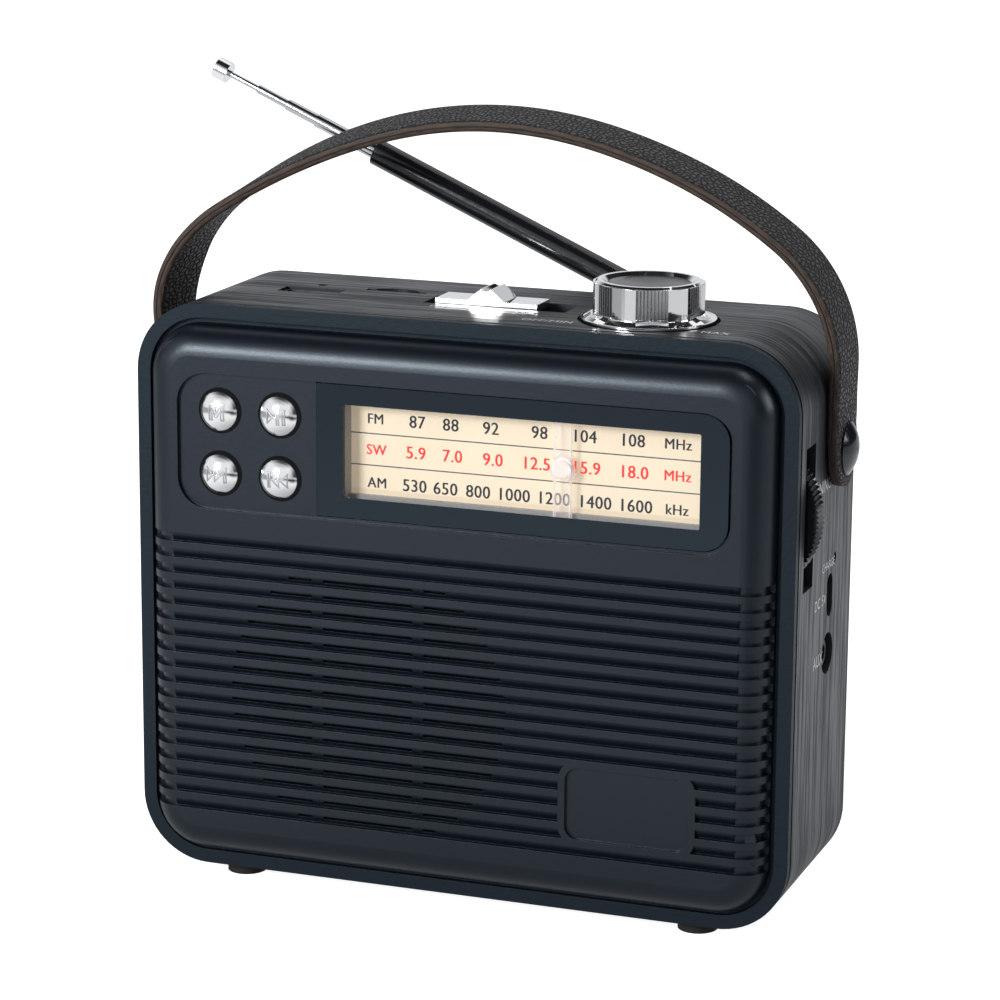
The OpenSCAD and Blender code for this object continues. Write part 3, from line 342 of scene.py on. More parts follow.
# Edges of the clear window inside the lens border
WINDOW = {"x0": -25.1 * MM, "x1": 57.5 * MM, "z0": 94.8 * MM, "z1": 115.8 * MM}
CLEAR = (0.98, 0.98, 0.98)
HUB = Vector((middle("dial_pointer").x, 0.0, (WINDOW["z0"] + WINDOW["z1"]) / 2))
SHADE_LEFT = (1.4 * MM, 2.1 * MM)
SHADE_LOW = (0.6 * MM, 1.5 * MM)
STRIP_EDGE = (1.6 * MM, 1.8 * MM)
BUBBLE = (2.75 * MM, 2.5 * MM)
BUBBLE_RING = (1.9 * MM, 2.5 * MM)


def paper_with_painted_glow_and_shade():
    # The emission is a painted glow that keeps the paper bright
    paint = Paint("dial_paper", Roughness=0.6, Emission_Strength=0.42)
    across, _, up = paint.axes()
    # Painted shade: the paper is darker towards its left and lower ends, where the window's walls shade it
    left = across.between(WINDOW["x0"] + SHADE_LEFT[0], WINDOW["x0"] + SHADE_LEFT[1], 0.55, 1.0)
    low = up.between(WINDOW["z0"] + SHADE_LOW[0], WINDOW["z0"] + SHADE_LOW[1], 0.55, 1.0)
    cloud = paint.noise(22 * MM, detail=2.0)
    cream = paint.mix(cloud, (0.70, 0.585, 0.425), (0.76, 0.655, 0.495))
    cream = paint.mix(left * low, (0.48, 0.38, 0.26), cream)
    paint.feed("Base Color", cream)
    paint.feed("Emission Color", cream)
    return paint.material


def print_ink(name, colour):
    # The emission is a painted glow, so the ink glows with the paper
    paint = Paint(name, Roughness=0.5, Emission_Strength=0.45, Emission_Color=(*colour, 1.0))
    speck = paint.noise(0.3 * MM, detail=2.0)
    paint.feed("Base Color", paint.mix(speck, colour, shade(colour, 1.3)))
    return paint.material


def lens_clear():
    paint = Paint("lens_clear")
    gloss = paint.node("ShaderNodeBsdfGlossy", {}, {"Roughness": 0.03}, out="BSDF")
    facing = paint.node("ShaderNodeLayerWeight", {}, {"Blend": 0.35}, out="Facing")
    paint.clear_mix(facing.power(3.0) * 0.5 + 0.02, CLEAR, gloss)
    return paint.material


def pointer_plastic():
    # Painted glow: the pointer glows faintly though it is no lamp
    pointer_painted_glow = (0.90, 0.80, 0.76, 1.0)
    paint = Paint("pointer_plastic", Roughness=0.15, Emission_Strength=0.25, Emission_Color=pointer_painted_glow)
    across = paint.axes()[0]
    edge = (across - HUB.x).math("ABSOLUTE").between(*STRIP_EDGE)
    from_hub = paint.from_axis(HUB, 0, 2)
    bubble = from_hub.between(*BUBBLE)
    ring = bubble * from_hub.between(*BUBBLE_RING)
    # Painted shade: a darker ring at the rim of the bubble
    paint.feed("Base Color", paint.mix(ring, (0.90, 0.84, 0.82), (0.62, 0.52, 0.52)))
    white = Wire(paint, paint.shader.outputs["BSDF"])
    # Painted highlights: more of the white shader along the strip's edges and in the bubble
    paint.clear_mix(edge * 0.35 + bubble * 0.5 + 0.14, CLEAR, white)
    return paint.material


print("window is", round((WINDOW["x1"] - WINDOW["x0"]) / MM, 1), "mm wide")

# %% [markdown]
# The boards inside are green with lighter tracks. Each material slot of the record now gets its finish, and
# a few nodes get a finish of their own.

# %% Finish every node


def board():
    paint = Paint("circuit_board", Roughness=0.4)
    where = paint.place((1.0, 1.0, 0.5))
    settings = {"feature": "DISTANCE_TO_EDGE"}
    tracks = paint.node("ShaderNodeTexVoronoi", settings, {"Vector": where, "Scale": 450.0})
    line = tracks.between(0.04, 0.07)
    paint.feed("Base Color", paint.mix(line, (0.10, 0.30, 0.16), (0.03, 0.14, 0.07)))
    paint.bump(line, 0.03 * MM)
    return paint.material


LOOKS = {
    "sleeve": wood_film(),
    "front": front_plastic(),
    "black_plastic": moulded("black_plastic", (0.010, 0.011, 0.013), 0.34, edge=0.15 * MM),
    "foot_rubber": moulded("foot_rubber", (0.010, 0.010, 0.010), 0.7, level=0.3),
    "screw_steel": polished("screw_steel", (0.50, 0.50, 0.52), 0.28),
    "lens_clear": lens_clear(),
    "dial_paper": paper_with_painted_glow_and_shade(),
    "pointer_clear": pointer_plastic(),
    "cord": moulded("dial_cord", (0.55, 0.50, 0.40), 0.8),
    "chrome": polished("chrome", (0.88, 0.88, 0.88), 0.05, edge=0.12 * MM),
    "white_plastic": moulded("white_plastic", (0.70, 0.69, 0.64), 0.45),
    "metal_can": polished("metal_can", (0.62, 0.63, 0.65), 0.26),
    "board_green": board(),
    "chip_black": moulded("chip_black", (0.02, 0.02, 0.021), 0.5),
    "cone_paper": moulded("cone_paper", (0.008, 0.008, 0.008), 0.8, grain=1.2 * MM, depth=0.08 * MM),
    "magnet": moulded("magnet", (0.03, 0.03, 0.032), 0.55),
    "led": moulded("led", (0.030, 0.006, 0.005), 0.2),
    "copper": polished("copper", (0.60, 0.30, 0.14), 0.3),
    "cell_wrap": moulded("cell_wrap", (0.05, 0.13, 0.24), 0.25),
    "strap_leather": leather(),
}
GLOSS_BLACK = moulded("gloss_black", (0.006, 0.007, 0.009), 0.16, depth=0.003 * MM, edge=0.12 * MM)
DARK_STEEL = moulded("dark_steel", (0.006, 0.006, 0.007), 0.6, level=0.25)
BUTTON_CHROME = polished("button_chrome", (0.90, 0.90, 0.90), 0.07, edge=0.6 * MM)
# Painted shade: the socket metal is made dark because it lies in shade inside its slots
SOCKET_METAL_SHADED = polished("socket_metal_painted_shade", (0.10, 0.10, 0.11), 0.35)
TUBE_METAL = polished("tube_metal", (0.52, 0.525, 0.54), 0.09)
OWN_FINISH = {
    "mode_button": BUTTON_CHROME,
    "play_button": BUTTON_CHROME,
    "next_button": BUTTON_CHROME,
    "previous_button": BUTTON_CHROME,
    "usb_socket": SOCKET_METAL_SHADED,
    "card_socket": SOCKET_METAL_SHADED,
    "usb_c_socket": SOCKET_METAL_SHADED,
    "knob_insert": spun_metal(),
    "speaker_frame": DARK_STEEL,
    "antenna_sleeve": GLOSS_BLACK,
    "tuning_wheel": GLOSS_BLACK,
    "strap_rivets": GLOSS_BLACK,
}
OWN_FINISH.update({"antenna_section_%d" % i: TUBE_METAL for i in range(1, 6)})
for part in frame["record"]["subparts"]:
    mesh = nodes[part["node"]].data
    mesh.materials.clear()
    mesh.materials.append(OWN_FINISH.get(part["node"], LOOKS[part["material_slot"]]))

# %% [markdown]
# Every piece made here starts as lists of points and faces. This helper turns them into a mesh and puts it
# on a body. A closed piece has its normals turned outward; a flat print keeps the side that it was drawn
# on.

# %% Piece helper


def piece(name, points, faces, materials, body, slot, stands_for=(), picks=None, closed=True):
    mesh = bpy.data.meshes.new(name)
    mesh.from_pydata(points, [], faces)
    for material in materials:
        mesh.materials.append(material)
    if picks:
        mesh.polygons.foreach_set("material_index", picks)
    made = bpy.data.objects.new(name, mesh)
    bpy.context.scene.collection.objects.link(made)
    if closed:
        tidy = bmesh.new()
        tidy.from_mesh(mesh)
        bmesh.ops.recalc_face_normals(tidy, faces=tidy.faces)
        tidy.to_mesh(mesh)
        tidy.free()
    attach(made, body)
    if stands_for:
        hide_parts(*stands_for)
    return made


def join(parts):
    """One list of points and one of faces from several."""
    points = []
    faces = []
    for more_points, more_faces in parts:
        base = len(points)
        points += more_points
        faces += [tuple(base + i for i in face) for face in more_faces]
    return points, faces


print("piece helper ready")

# %% [markdown]
# The strap follows the curve of its CAD solid: a wide crown, tight shoulders, straight sides and round ends
# at the rivets. Real leather never hangs quite even, so the arch sways a little to the left. Its left side
# bows out low down, is flatter at the shoulder, and turns on the way up. The cross-section has soft
# corners, which leaves the raw edge as a narrow brown band on both sides.

# %% Strap shape
_, rivet_y, rivet_z = middle("strap_rivets")
RIVET = Vector((0.0, rivet_y, rivet_z))
STRAP_W = 17 * MM
STRAP_T = 2.6 * MM
STRAP_RISE = 69 * MM
STRAP_LEAN = math.radians(3.5)
STRAP_MID = 79.1 * MM
CROWN_R = 110 * MM
CROWN_A = math.radians(37.5)
SHOULDER_R = 35 * MM
SHOULDER_A = math.radians(97.5)
NECK = 4 * MM
CROWN_STEPS = 60
SHOULDER_STEPS = 60
SIDE_STEPS = 10
NECK_STEPS = 3
END_STEPS = 15
SWAY = -1.4 * MM
SWAY_RISE = 18 * MM
BOW = -1.0 * MM
BOW_AT = (27 * MM, 16 * MM)
FLAT = 5.0 * MM
FLAT_AT = (64 * MM, 28.7 * MM)
TURN_IN = math.radians(7.0)
TURN_IN_AT = (28.5 * MM, 18.6 * MM)
TURN_OUT = math.radians(-6.6)
TURN_OUT_AT = (61.2 * MM, 22.5 * MM)
CROWN_FADE = 40 * MM
CORNER = 0.9 * MM
CORNER_STEPS = 4


def strap_path():
    """Points (x, rise), outward angle and half width from the crown to the round end on the right."""
    crown = Vector((0.0, STRAP_RISE - CROWN_R))
    shoulder = crown + (CROWN_R - SHOULDER_R) * Vector((math.sin(CROWN_A), math.cos(CROWN_A)))
    half = STRAP_W / 2
    path = []
    for i in range(CROWN_STEPS):
        a = CROWN_A * i / CROWN_STEPS
        path.append((crown + CROWN_R * Vector((math.sin(a), math.cos(a))), a, half))
    for i in range(SHOULDER_STEPS + 1):
        a = CROWN_A + (SHOULDER_A - CROWN_A) * i / SHOULDER_STEPS
        path.append((shoulder + SHOULDER_R * Vector((math.sin(a), math.cos(a))), a, half))
    last, a_last, _ = path[-1]
    for i in range(1, SIDE_STEPS + 1):
        t = i / SIDE_STEPS
        path.append((last.lerp(Vector((STRAP_MID, NECK)), t), a_last + (math.pi / 2 - a_last) * t, half))
    for i in range(1, NECK_STEPS + 1):
        path.append((Vector((STRAP_MID, NECK * (1 - i / NECK_STEPS))), math.pi / 2, half))
    for i in range(1, END_STEPS):
        a = math.pi / 2 * i / END_STEPS
        path.append((Vector((STRAP_MID, -half * math.sin(a))), math.pi / 2, half * math.cos(a)))
    return path


def swell(rise, at):
    """A smooth hump: 1 at one height, 0 from a given distance above and below it."""
    t = (rise - at[0]) / at[1]
    return math.cos(math.pi / 2 * t) ** 2 if abs(t) < 1 else 0.0


def ease(t):
    """A soft step from 0 to 1."""
    t = min(max(t, 0.0), 1.0)
    return t * t * (3 - 2 * t)


def on_left(x):
    """1 on the left side of the arch, 0 on the right, with a soft change over the crown."""
    return ease((CROWN_FADE - x) / (2 * CROWN_FADE))


def strap_shift(x, rise):
    """How far the hanging leather leaves the even arch at a point."""
    bend = BOW * swell(rise, BOW_AT) + FLAT * swell(rise, FLAT_AT)
    return SWAY * ease(rise / SWAY_RISE) + on_left(x) * bend


def strap_section(half):
    """Rounded outline (across, out) of the strap."""
    r = min(CORNER, half * 0.5)
    ring = []
    for cx, cy, start in ((1, 1, 0), (-1, 1, 90), (-1, -1, 180), (1, -1, 270)):
        for i in range(CORNER_STEPS + 1):
            a = math.radians(start + 90 * i / CORNER_STEPS)
            ring.append((cx * (half - r) + r * math.cos(a), cy * (STRAP_T / 2 - r) + r * math.sin(a)))
    return ring


def strap_twist(x, rise):
    """The left side turns its inner face a little to the front low down, and its outer face above that."""
    return on_left(x) * (TURN_IN * swell(rise, TURN_IN_AT) + TURN_OUT * swell(rise, TURN_OUT_AT))


def strap_frames():
    """Centre, outward and crosswise directions and half width of every section, from left to right."""
    right = strap_path()
    left = [(Vector((-p.x, p.y)), -a, h) for p, a, h in reversed(right[1:])]
    lean = Matrix.Rotation(STRAP_LEAN, 4, "X")
    cross = lean @ Vector((0.0, 1.0, 0.0))
    frames = []
    for point, a, half in left + right:
        centre = lean @ Vector((point.x + strap_shift(point.x, point.y), 0.0, point.y)) + RIVET
        out = lean @ Vector((math.sin(a), 0.0, math.cos(a)))
        turn = strap_twist(point.x, point.y)
        turned = cross * math.cos(turn) - out * math.sin(turn)
        centre = centre - cross * half + turned * half
        frames.append((centre, out * math.cos(turn) + cross * math.sin(turn), turned, half))
    return frames


STRAP = strap_frames()
print("strap has", len(STRAP), "cross-sections")

# %% [markdown]
# The cross-sections are joined into one closed skin. The narrow sides and the part of each corner next to
# them are raw edge, and the rest is leather. A UV map in metres lets the pebbles keep their size and follow
# the bend.

# %% Strap mesh
RING = 4 * (CORNER_STEPS + 1)
# Steps round a cross-section that are raw edge
RAW = {0, 1, 2, 7, 8, 9, 10, 11, 12, 17, 18, 19}


def make_strap():
    points = []
    for centre, out, cross, half in STRAP:
        points += [centre + out * rise + cross * across for across, rise in strap_section(half)]
    faces = []
    picks = []
    for i in range(len(STRAP) - 1):
        for k in range(RING):
            n = (k + 1) % RING
            faces.append((i * RING + k, i * RING + n, (i + 1) * RING + n, (i + 1) * RING + k))
            picks.append(1 if k in RAW else 0)
    last = (len(STRAP) - 1) * RING
    faces += [tuple(range(RING)), tuple(last + k for k in range(RING))]
    materials = [LOOKS["strap_leather"], raw_edge()]
    return piece("strap_leather", points, faces, materials, "handle", "strap_leather",
                 ("strap",), picks + [1, 1])


def map_strap(made):
    """A UV map in metres: along the strap, and round its cross-section."""
    section = strap_section(STRAP_W / 2)
    round_it = [0.0]
    for k in range(RING):
        a, b = Vector(section[k]), Vector(section[(k + 1) % RING])
        round_it.append(round_it[-1] + (b - a).length)
    along = [0.0]
    for a, b in zip(STRAP, STRAP[1:]):
        along.append(along[-1] + (b[0] - a[0]).length)
    layer = made.data.uv_layers.new(name="strap")
    for face in made.data.polygons:
        keys = [made.data.loops[i].vertex_index % RING for i in face.loop_indices]
        wraps = len(keys) == 4 and 0 in keys and RING - 1 in keys
        for i, k in zip(face.loop_indices, keys):
            row = made.data.loops[i].vertex_index // RING
            layer.data[i].uv = (along[row], round_it[RING if wraps and k == 0 else k])
    made.data.polygons.foreach_set("use_smooth", [True] * len(made.data.polygons))
    return along[-1]


strap = make_strap()
print("strap is", round(map_strap(strap) / MM), "mm long")

# %% [markdown]
# The two layers meet in a glue line that runs along both raw edges. It follows a path, so Geometry Nodes
# sweep it: the path's edges become a curve, a small circle runs along it, and the result is made a plain
# mesh again.

# %% Glue lines
GLUE_R = 0.16 * MM
GLUE_SIDES = 8
SWEEP_PORTS = (
    ("Geometry", "INPUT", "NodeSocketGeometry"),
    ("Radius", "INPUT", "NodeSocketFloat"),
    ("Material", "INPUT", "NodeSocketMaterial"),
    ("Geometry", "OUTPUT", "NodeSocketGeometry"),
)


def sweep_tree():
    tree = bpy.data.node_groups.new("swept_bead", "GeometryNodeTree")
    ports = {}
    for name, way, kind in SWEEP_PORTS:
        ports[name, way] = tree.interface.new_socket(name=name, in_out=way, socket_type=kind).identifier
    kit = Tree(tree)
    start = tree.nodes.new("NodeGroupInput")
    names = ("Geometry", "Radius", "Material")
    path, radius, material = [Wire(kit, start.outputs[name]) for name in names]
    curve = kit.node("GeometryNodeMeshToCurve", {}, {"Mesh": path})
    circle = kit.node("GeometryNodeCurvePrimitiveCircle", {}, {"Resolution": GLUE_SIDES, "Radius": radius})
    sockets = {"Curve": curve, "Profile Curve": circle, "Fill Caps": True}
    bead = kit.node("GeometryNodeCurveToMesh", {}, sockets)
    plain = kit.node("GeometryNodeRealizeInstances", {}, {"Geometry": bead})
    smooth = kit.node("GeometryNodeSetShadeSmooth", {}, {"Geometry": plain})
    done = kit.node("GeometryNodeSetMaterial", {}, {"Geometry": smooth, "Material": material})
    tree.links.new(done.socket, tree.nodes.new("NodeGroupOutput").inputs[0])
    return tree, ports


def swept(name, paths, radius, material, body):
    """A bead of one radius along several paths, as a plain mesh piece."""
    tree, ports = sweep_tree()
    lines = bpy.data.meshes.new(name)
    points = []
    edges = []
    for path in paths:
        edges += [(len(points) + i, len(points) + i + 1) for i in range(len(path) - 1)]
        points += path
    lines.from_pydata(points, edges, [])
    made = bpy.data.objects.new(name, lines)
    modifier = made.modifiers.new("sweep", "NODES")
    modifier.node_group = tree
    modifier[ports["Radius", "INPUT"]] = radius
    modifier[ports["Material", "INPUT"]] = material
    bpy.context.scene.collection.objects.link(made)
    view = bpy.context.evaluated_depsgraph_get()
    result = bpy.data.meshes.new_from_object(made.evaluated_get(view), depsgraph=view)
    made.modifiers.remove(modifier)
    made.data = result
    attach(made, body)
    return made


GLUE = moulded("strap_glue", (0.010, 0.008, 0.007), 0.6, level=0.3)
between_ends = STRAP[END_STEPS - 1:1 - END_STEPS]
edge_paths = [[c + cross * (side * half) for c, _, cross, half in between_ends] for side in (-1, 1)]
glue = swept("strap_glue_lines", edge_paths, GLUE_R, GLUE, "handle")
print("glue lines have", len(glue.data.polygons), "faces")

# %% [markdown]
# The dial carries three rows of plain numbers and two thin lines. Letters are text turned into flat meshes,
# made bolder by two copies a hair to the side, and laid just in front of the paper.

# %% Lettering
LETTER_SPACE = 1.06
LETTER_SQUEEZE = 0.94


def lettering(word, size, weight=0.0):
    """Flat points (across, up) and faces of one word, centred on its own middle."""
    curve = bpy.data.curves.new("word", "FONT")
    curve.body = word
    curve.align_x = "CENTER"
    curve.align_y = "CENTER"
    curve.size = size
    curve.space_character = LETTER_SPACE
    curve.resolution_u = 3
    carrier = bpy.data.objects.new("word", curve)
    bpy.context.scene.collection.objects.link(carrier)
    view = bpy.context.evaluated_depsgraph_get()
    flat = bpy.data.meshes.new_from_object(carrier.evaluated_get(view), depsgraph=view)
    shifts = (-weight, 0.0, weight) if weight else (0.0,)
    faces = [tuple(p.vertices) for p in flat.polygons]
    copies = []
    for shift in shifts:
        copies.append(([(v.co.x * LETTER_SQUEEZE + shift, v.co.y) for v in flat.vertices], faces))
    made = join(copies)
    bpy.data.objects.remove(carrier)
    bpy.data.curves.remove(curve)
    bpy.data.meshes.remove(flat)
    return made


def laid(sign, origin, across, up):
    """A flat sign put in space, with its own two directions."""
    points, faces = sign
    origin = Vector(origin)
    return [origin + Vector(across) * u + Vector(up) * v for u, v in points], faces


def bar(x0, x1, z0, z1):
    return [(x0, z0), (x1, z0), (x1, z1), (x0, z1)], [(0, 1, 2, 3)]


AX_X, AX_Y, AX_Z = (1, 0, 0), (0, 1, 0), (0, 0, 1)
PRINT_UP = 0.05 * MM
PRINT_Y = scale_low.y - PRINT_UP
LETTER = 3.96 * MM
NAME_SIZE = 0.84
BOLD = 0.07 * MM
INK = {
    "dark": print_ink("ink_dark", (0.060, 0.066, 0.082)),
    "red": print_ink("ink_red", (0.80, 0.085, 0.075)),
}
# Ink, height, and each word with its place across, in millimetres
ROWS = [
    ("dark", 111.8, (("FM", -19.4), ("87", -9.5), ("88", -1.6), ("92", 7.8), ("98", 19.1),
                     ("104", 29.4), ("108", 40.4), ("MHz", 50.7))),
    ("red", 104.8, (("SW", -19.2), ("5.9", -9.8), ("7.0", -1.2), ("9.0", 8.3), ("12.5", 18.4),
                    ("15.9", 29.9), ("18.0", 40.8), ("MHz", 50.7))),
    ("dark", 97.3, (("AM", -19.0), ("530", -10.1), ("650", -2.8), ("800", 4.9), ("1000", 13.2),
                    ("1200", 22.5), ("1400", 32.0), ("1600", 41.3), ("kHz", 50.7))),
]
LINES = (108.4, 101.2)
LINE_H = 0.28 * MM
LINE_END = 1 * MM


def letter_size(word):
    """Names of bands and units are set smaller than the numbers."""
    return LETTER * (NAME_SIZE if word.isalpha() else 1.0)


for ink in ("dark", "red"):
    signs = []
    for row_ink, z, words in ROWS:
        if row_ink != ink:
            continue
        for word, x in words:
            flat = lettering(word, letter_size(word), BOLD)
            signs.append(laid(flat, (x * MM, PRINT_Y, z * MM), AX_X, AX_Z))
    if ink == "dark":
        span = (scale_low.x + LINE_END, scale_high.x - LINE_END)
        for z in LINES:
            signs.append(laid(bar(*span, z * MM, z * MM + LINE_H), (0, PRINT_Y, 0), AX_X, AX_Z))
    made = piece("dial_print_" + ink, *join(signs), [INK[ink]], "case", "dial_paper", closed=False)
    print("dial print", ink, "has", len(made.data.polygons), "faces")

# %% [markdown]
# The window's black border is printed on the glossy lens, so it is a thin frame on the lens's front. Behind
# it a grey wall stands at the left end of the paper and a low ledge under it, which close the window like a
# box.

# %% Window trim


def rounded_rect(x0, x1, z0, z1, radii, steps=8):
    """Outline from the lower left corner anticlockwise, each corner with its own radius."""
    corners = (
        (x0, z0, 180, radii[0]),
        (x1, z0, 270, radii[1]),
        (x1, z1, 0, radii[2]),
        (x0, z1, 90, radii[3]),
    )
    ring = []
    for x, z, start, r in corners:
        cx = x + r if x == x0 else x - r
        cz = z + r if z == z0 else z - r
        for i in range(steps + 1):
            a = math.radians(start + 90 * i / steps)
            ring.append((cx + r * math.cos(a), cz + r * math.sin(a)))
    return ring


def sheet_frame(outer, inner):
    """Flat frame between two outlines with the same number of points."""
    n = len(outer)
    return outer + inner, [(i, (i + 1) % n, n + (i + 1) % n, n + i) for i in range(n)]


def block(low, high):
    """Points and faces of a box between two corners."""
    xs, ys, zs = zip(low, high)
    points = [(x, y, z) for x in xs for y in ys for z in zs]
    return points, [(0, 1, 3, 2), (4, 6, 7, 5), (0, 4, 5, 1), (2, 3, 7, 6), (0, 2, 6, 4), (1, 5, 7, 3)]


BORDER = moulded("lens_border", (0.005, 0.007, 0.010), 0.12, depth=0.002 * MM, level=0.5, tint=COLD)
INK_UP = 0.03 * MM
LENS_RADII = (0.3 * MM, 6 * MM, 6 * MM, 0.3 * MM)
WINDOW_RADII = (0.4 * MM,) * 4
outer = rounded_rect(lens_low.x, lens_high.x, lens_low.z, lens_high.z, LENS_RADII)
inner = rounded_rect(WINDOW["x0"], WINDOW["x1"], WINDOW["z0"], WINDOW["z1"], WINDOW_RADII)
border = laid(sheet_frame(outer, inner), (0.0, lens_low.y - INK_UP, 0.0), AX_X, AX_Z)
piece("lens_border", *border, [BORDER], "case", "black_plastic", closed=False)
WALL_GREY = moulded("window_wall", (0.34, 0.34, 0.34), 0.3)
PAPER_UP = 0.08 * MM
PAPER_Y = scale_low.y - PAPER_UP
TRIM_GAP = 0.1 * MM
WALL_OUT = 2.8 * MM
WALL_UNDER = 0.8 * MM
WALL_OVER = 0.6 * MM
SHELF_DEEP = 1.1 * MM
SHELF_UNDER = 1.9 * MM
SHELF_OVER = 2 * MM
wall = block((WINDOW["x0"] - WALL_OUT, lens_high.y + TRIM_GAP, WINDOW["z0"] - WALL_UNDER),
             (WINDOW["x0"] - TRIM_GAP, PAPER_Y, WINDOW["z1"] + WALL_OVER))
shelf = block((WINDOW["x0"] - TRIM_GAP, PAPER_Y - SHELF_DEEP, WINDOW["z0"] - SHELF_UNDER),
              (WINDOW["x1"] + SHELF_OVER, PAPER_Y, WINDOW["z0"] - TRIM_GAP))
piece("window_walls", *join([wall, shelf]), [WALL_GREY], "case", "black_plastic")
print("window trim made")

# %% [markdown]
# The four plated buttons carry raised signs: a letter for the mode, and the usual arrows and bars. Each
# sign is a raised outline whose front follows the button's dome, and it moves in with its own button.

# %% Button signs
BUTTON_FLANGE = 0.9 * MM
DOME = 1.6 * MM
SIGN_UP = 0.10 * MM
SIGN_IN = 0.35 * MM
SIGN_LINE = 0.30
SIGN_HIGH = 1.85
ARROW_W = 2.0
POST_W = 0.8
MITRE = 0.4
# Outlines of the signs are in millimetres from the middle of the button
LETTER_M = [(-1.9, -2.0), (-1.9, 2.0), (-0.8, 2.0), (0, 0.2), (0.8, 2.0), (1.9, 2.0), (1.9, -2.0),
            (0.95, -2.0), (0.95, 0.2), (0.35, -1.2), (-0.35, -1.2), (-0.95, 0.2), (-0.95, -2.0)]


def arrow(x):
    """An arrow head that points right from x."""
    return [(x, SIGN_HIGH), (x + ARROW_W, 0.0), (x, -SIGN_HIGH)]


def post(x):
    return [(x, SIGN_HIGH), (x + POST_W, SIGN_HIGH), (x + POST_W, -SIGN_HIGH), (x, -SIGN_HIGH)]


def flipped(shapes):
    return [[(-u, v) for u, v in reversed(shape)] for shape in shapes]


def dense(shape, step=0.3):
    """The same outline with points along its edges, so that it can follow a curved surface."""
    points = []
    for i, corner in enumerate(shape):
        a, b = Vector(corner), Vector(shape[(i + 1) % len(shape)])
        count = max(1, round((b - a).length / step))
        points += [tuple(a.lerp(b, k / count)) for k in range(count)]
    return points


def inset(shape, width):
    """The clockwise outline moved inward by width, point by point."""
    moved = []
    for i, corner in enumerate(shape):
        here = Vector(corner)
        a = (here - Vector(shape[i - 1])).normalized()
        b = (Vector(shape[(i + 1) % len(shape)]) - here).normalized()
        inward = Vector((a.y + b.y, -a.x - b.x)).normalized()
        moved.append(tuple(here + inward * (width / max(inward.dot(Vector((a.y, -a.x))), MITRE))))
    return moved


NEXT = [arrow(-2.7), arrow(-0.7), post(1.5)]
SIGNS = {
    "mode_button": ("mode_key", [LETTER_M]),
    "play_button": ("play_key", [arrow(-2.4), post(0.0), post(1.4)]),
    "next_button": ("next_key", NEXT),
    "previous_button": ("previous_key", flipped(NEXT)),
}


def button_cap(name):
    """Middle, front and radius of a button's cap, without its hidden flange."""
    low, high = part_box(name)
    return (low + high) / 2, low.y, (high.x - low.x) / 2 - BUTTON_FLANGE


def raised(shape, centre, front, cap_r):
    """A raised outline on a dome: its front stands just proud of the dome, its back lies just inside."""
    points = []
    for offset in (-SIGN_UP, SIGN_IN):
        for u, v in shape + inset(shape, SIGN_LINE):
            sag = cap_r - math.sqrt(cap_r ** 2 - (u * u + v * v) * MM ** 2)
            points.append((centre.x + u * MM, front + sag + offset, centre.z + v * MM))
    n = len(shape)
    faces = []
    for i in range(n):
        j = (i + 1) % n
        for a, b in ((0, n), (n, 3 * n), (3 * n, 2 * n), (2 * n, 0)):
            faces.append((a + i, a + j, b + j, b + i))
    return points, faces


SIGN_METAL = polished("sign_metal", (0.46, 0.46, 0.47), 0.5)
for name, (body, shapes) in SIGNS.items():
    centre, front, cap = button_cap(name)
    cap_r = (cap * cap + DOME * DOME) / (2 * DOME)
    solids = [raised(dense(shape), centre, front, cap_r) for shape in shapes]
    piece(name + "_sign", *join(solids), [SIGN_METAL], body, "chrome")
print("signs on", len(SIGNS), "buttons")

# %% [markdown]
# Each button sits in a gap in the recessed panel. A thin black ring on the panel round every button is a
# painted shadow of that gap, wider at the upper right.

# %% Button gap shadows
GAP_SHADOW_OUT = 0.75 * MM
GAP_SHADOW_UNDER = 0.1 * MM
GAP_SHADOW_SHIFT = Vector((0.35, 0.0, 0.2)) * MM
RECESS = 1 * MM
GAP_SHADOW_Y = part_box("front_panel")[0].y + RECESS - INK_UP
GAP_SHADOW_BLACK = moulded("painted_gap_shadow", (0.002, 0.002, 0.003), 0.7, level=0.1)


def circle(centre, r, steps=48):
    turns = [2 * math.pi * i / steps for i in range(steps)]
    return [(centre.x + r * math.cos(a), centre.z + r * math.sin(a)) for a in turns]


gap_shadow_rings = []
for name in SIGNS:
    centre, _, cap = button_cap(name)
    # Painted shadow: each ring is a flat black sheet where the gap round the button lies in shade
    ring = sheet_frame(circle(centre + GAP_SHADOW_SHIFT, cap + GAP_SHADOW_OUT), circle(centre, cap - GAP_SHADOW_UNDER))
    gap_shadow_rings.append(laid(ring, (0.0, GAP_SHADOW_Y, 0.0), AX_X, AX_Z))
piece("painted_button_gap_shadows", *join(gap_shadow_rings), [GAP_SHADOW_BLACK], "case", "black_plastic", closed=False)
print("painted gap shadows round", len(gap_shadow_rings), "buttons")

# %% [markdown]
# Small silver words name the sockets and the ends of the controls. They are printed flat on the sleeve,
# those on the side running from front to back.

# %% Printed words
SIDE_X = cabinet_high.x + INK_UP
TOP_Z = cabinet_high.z + INK_UP
WORD_SCALE = 1.32
SILVER = moulded("silver_ink", (0.85, 0.86, 0.87), 0.45)


def height(name):
    """Height in millimetres of the middle of a node."""
    return middle(name).z / MM


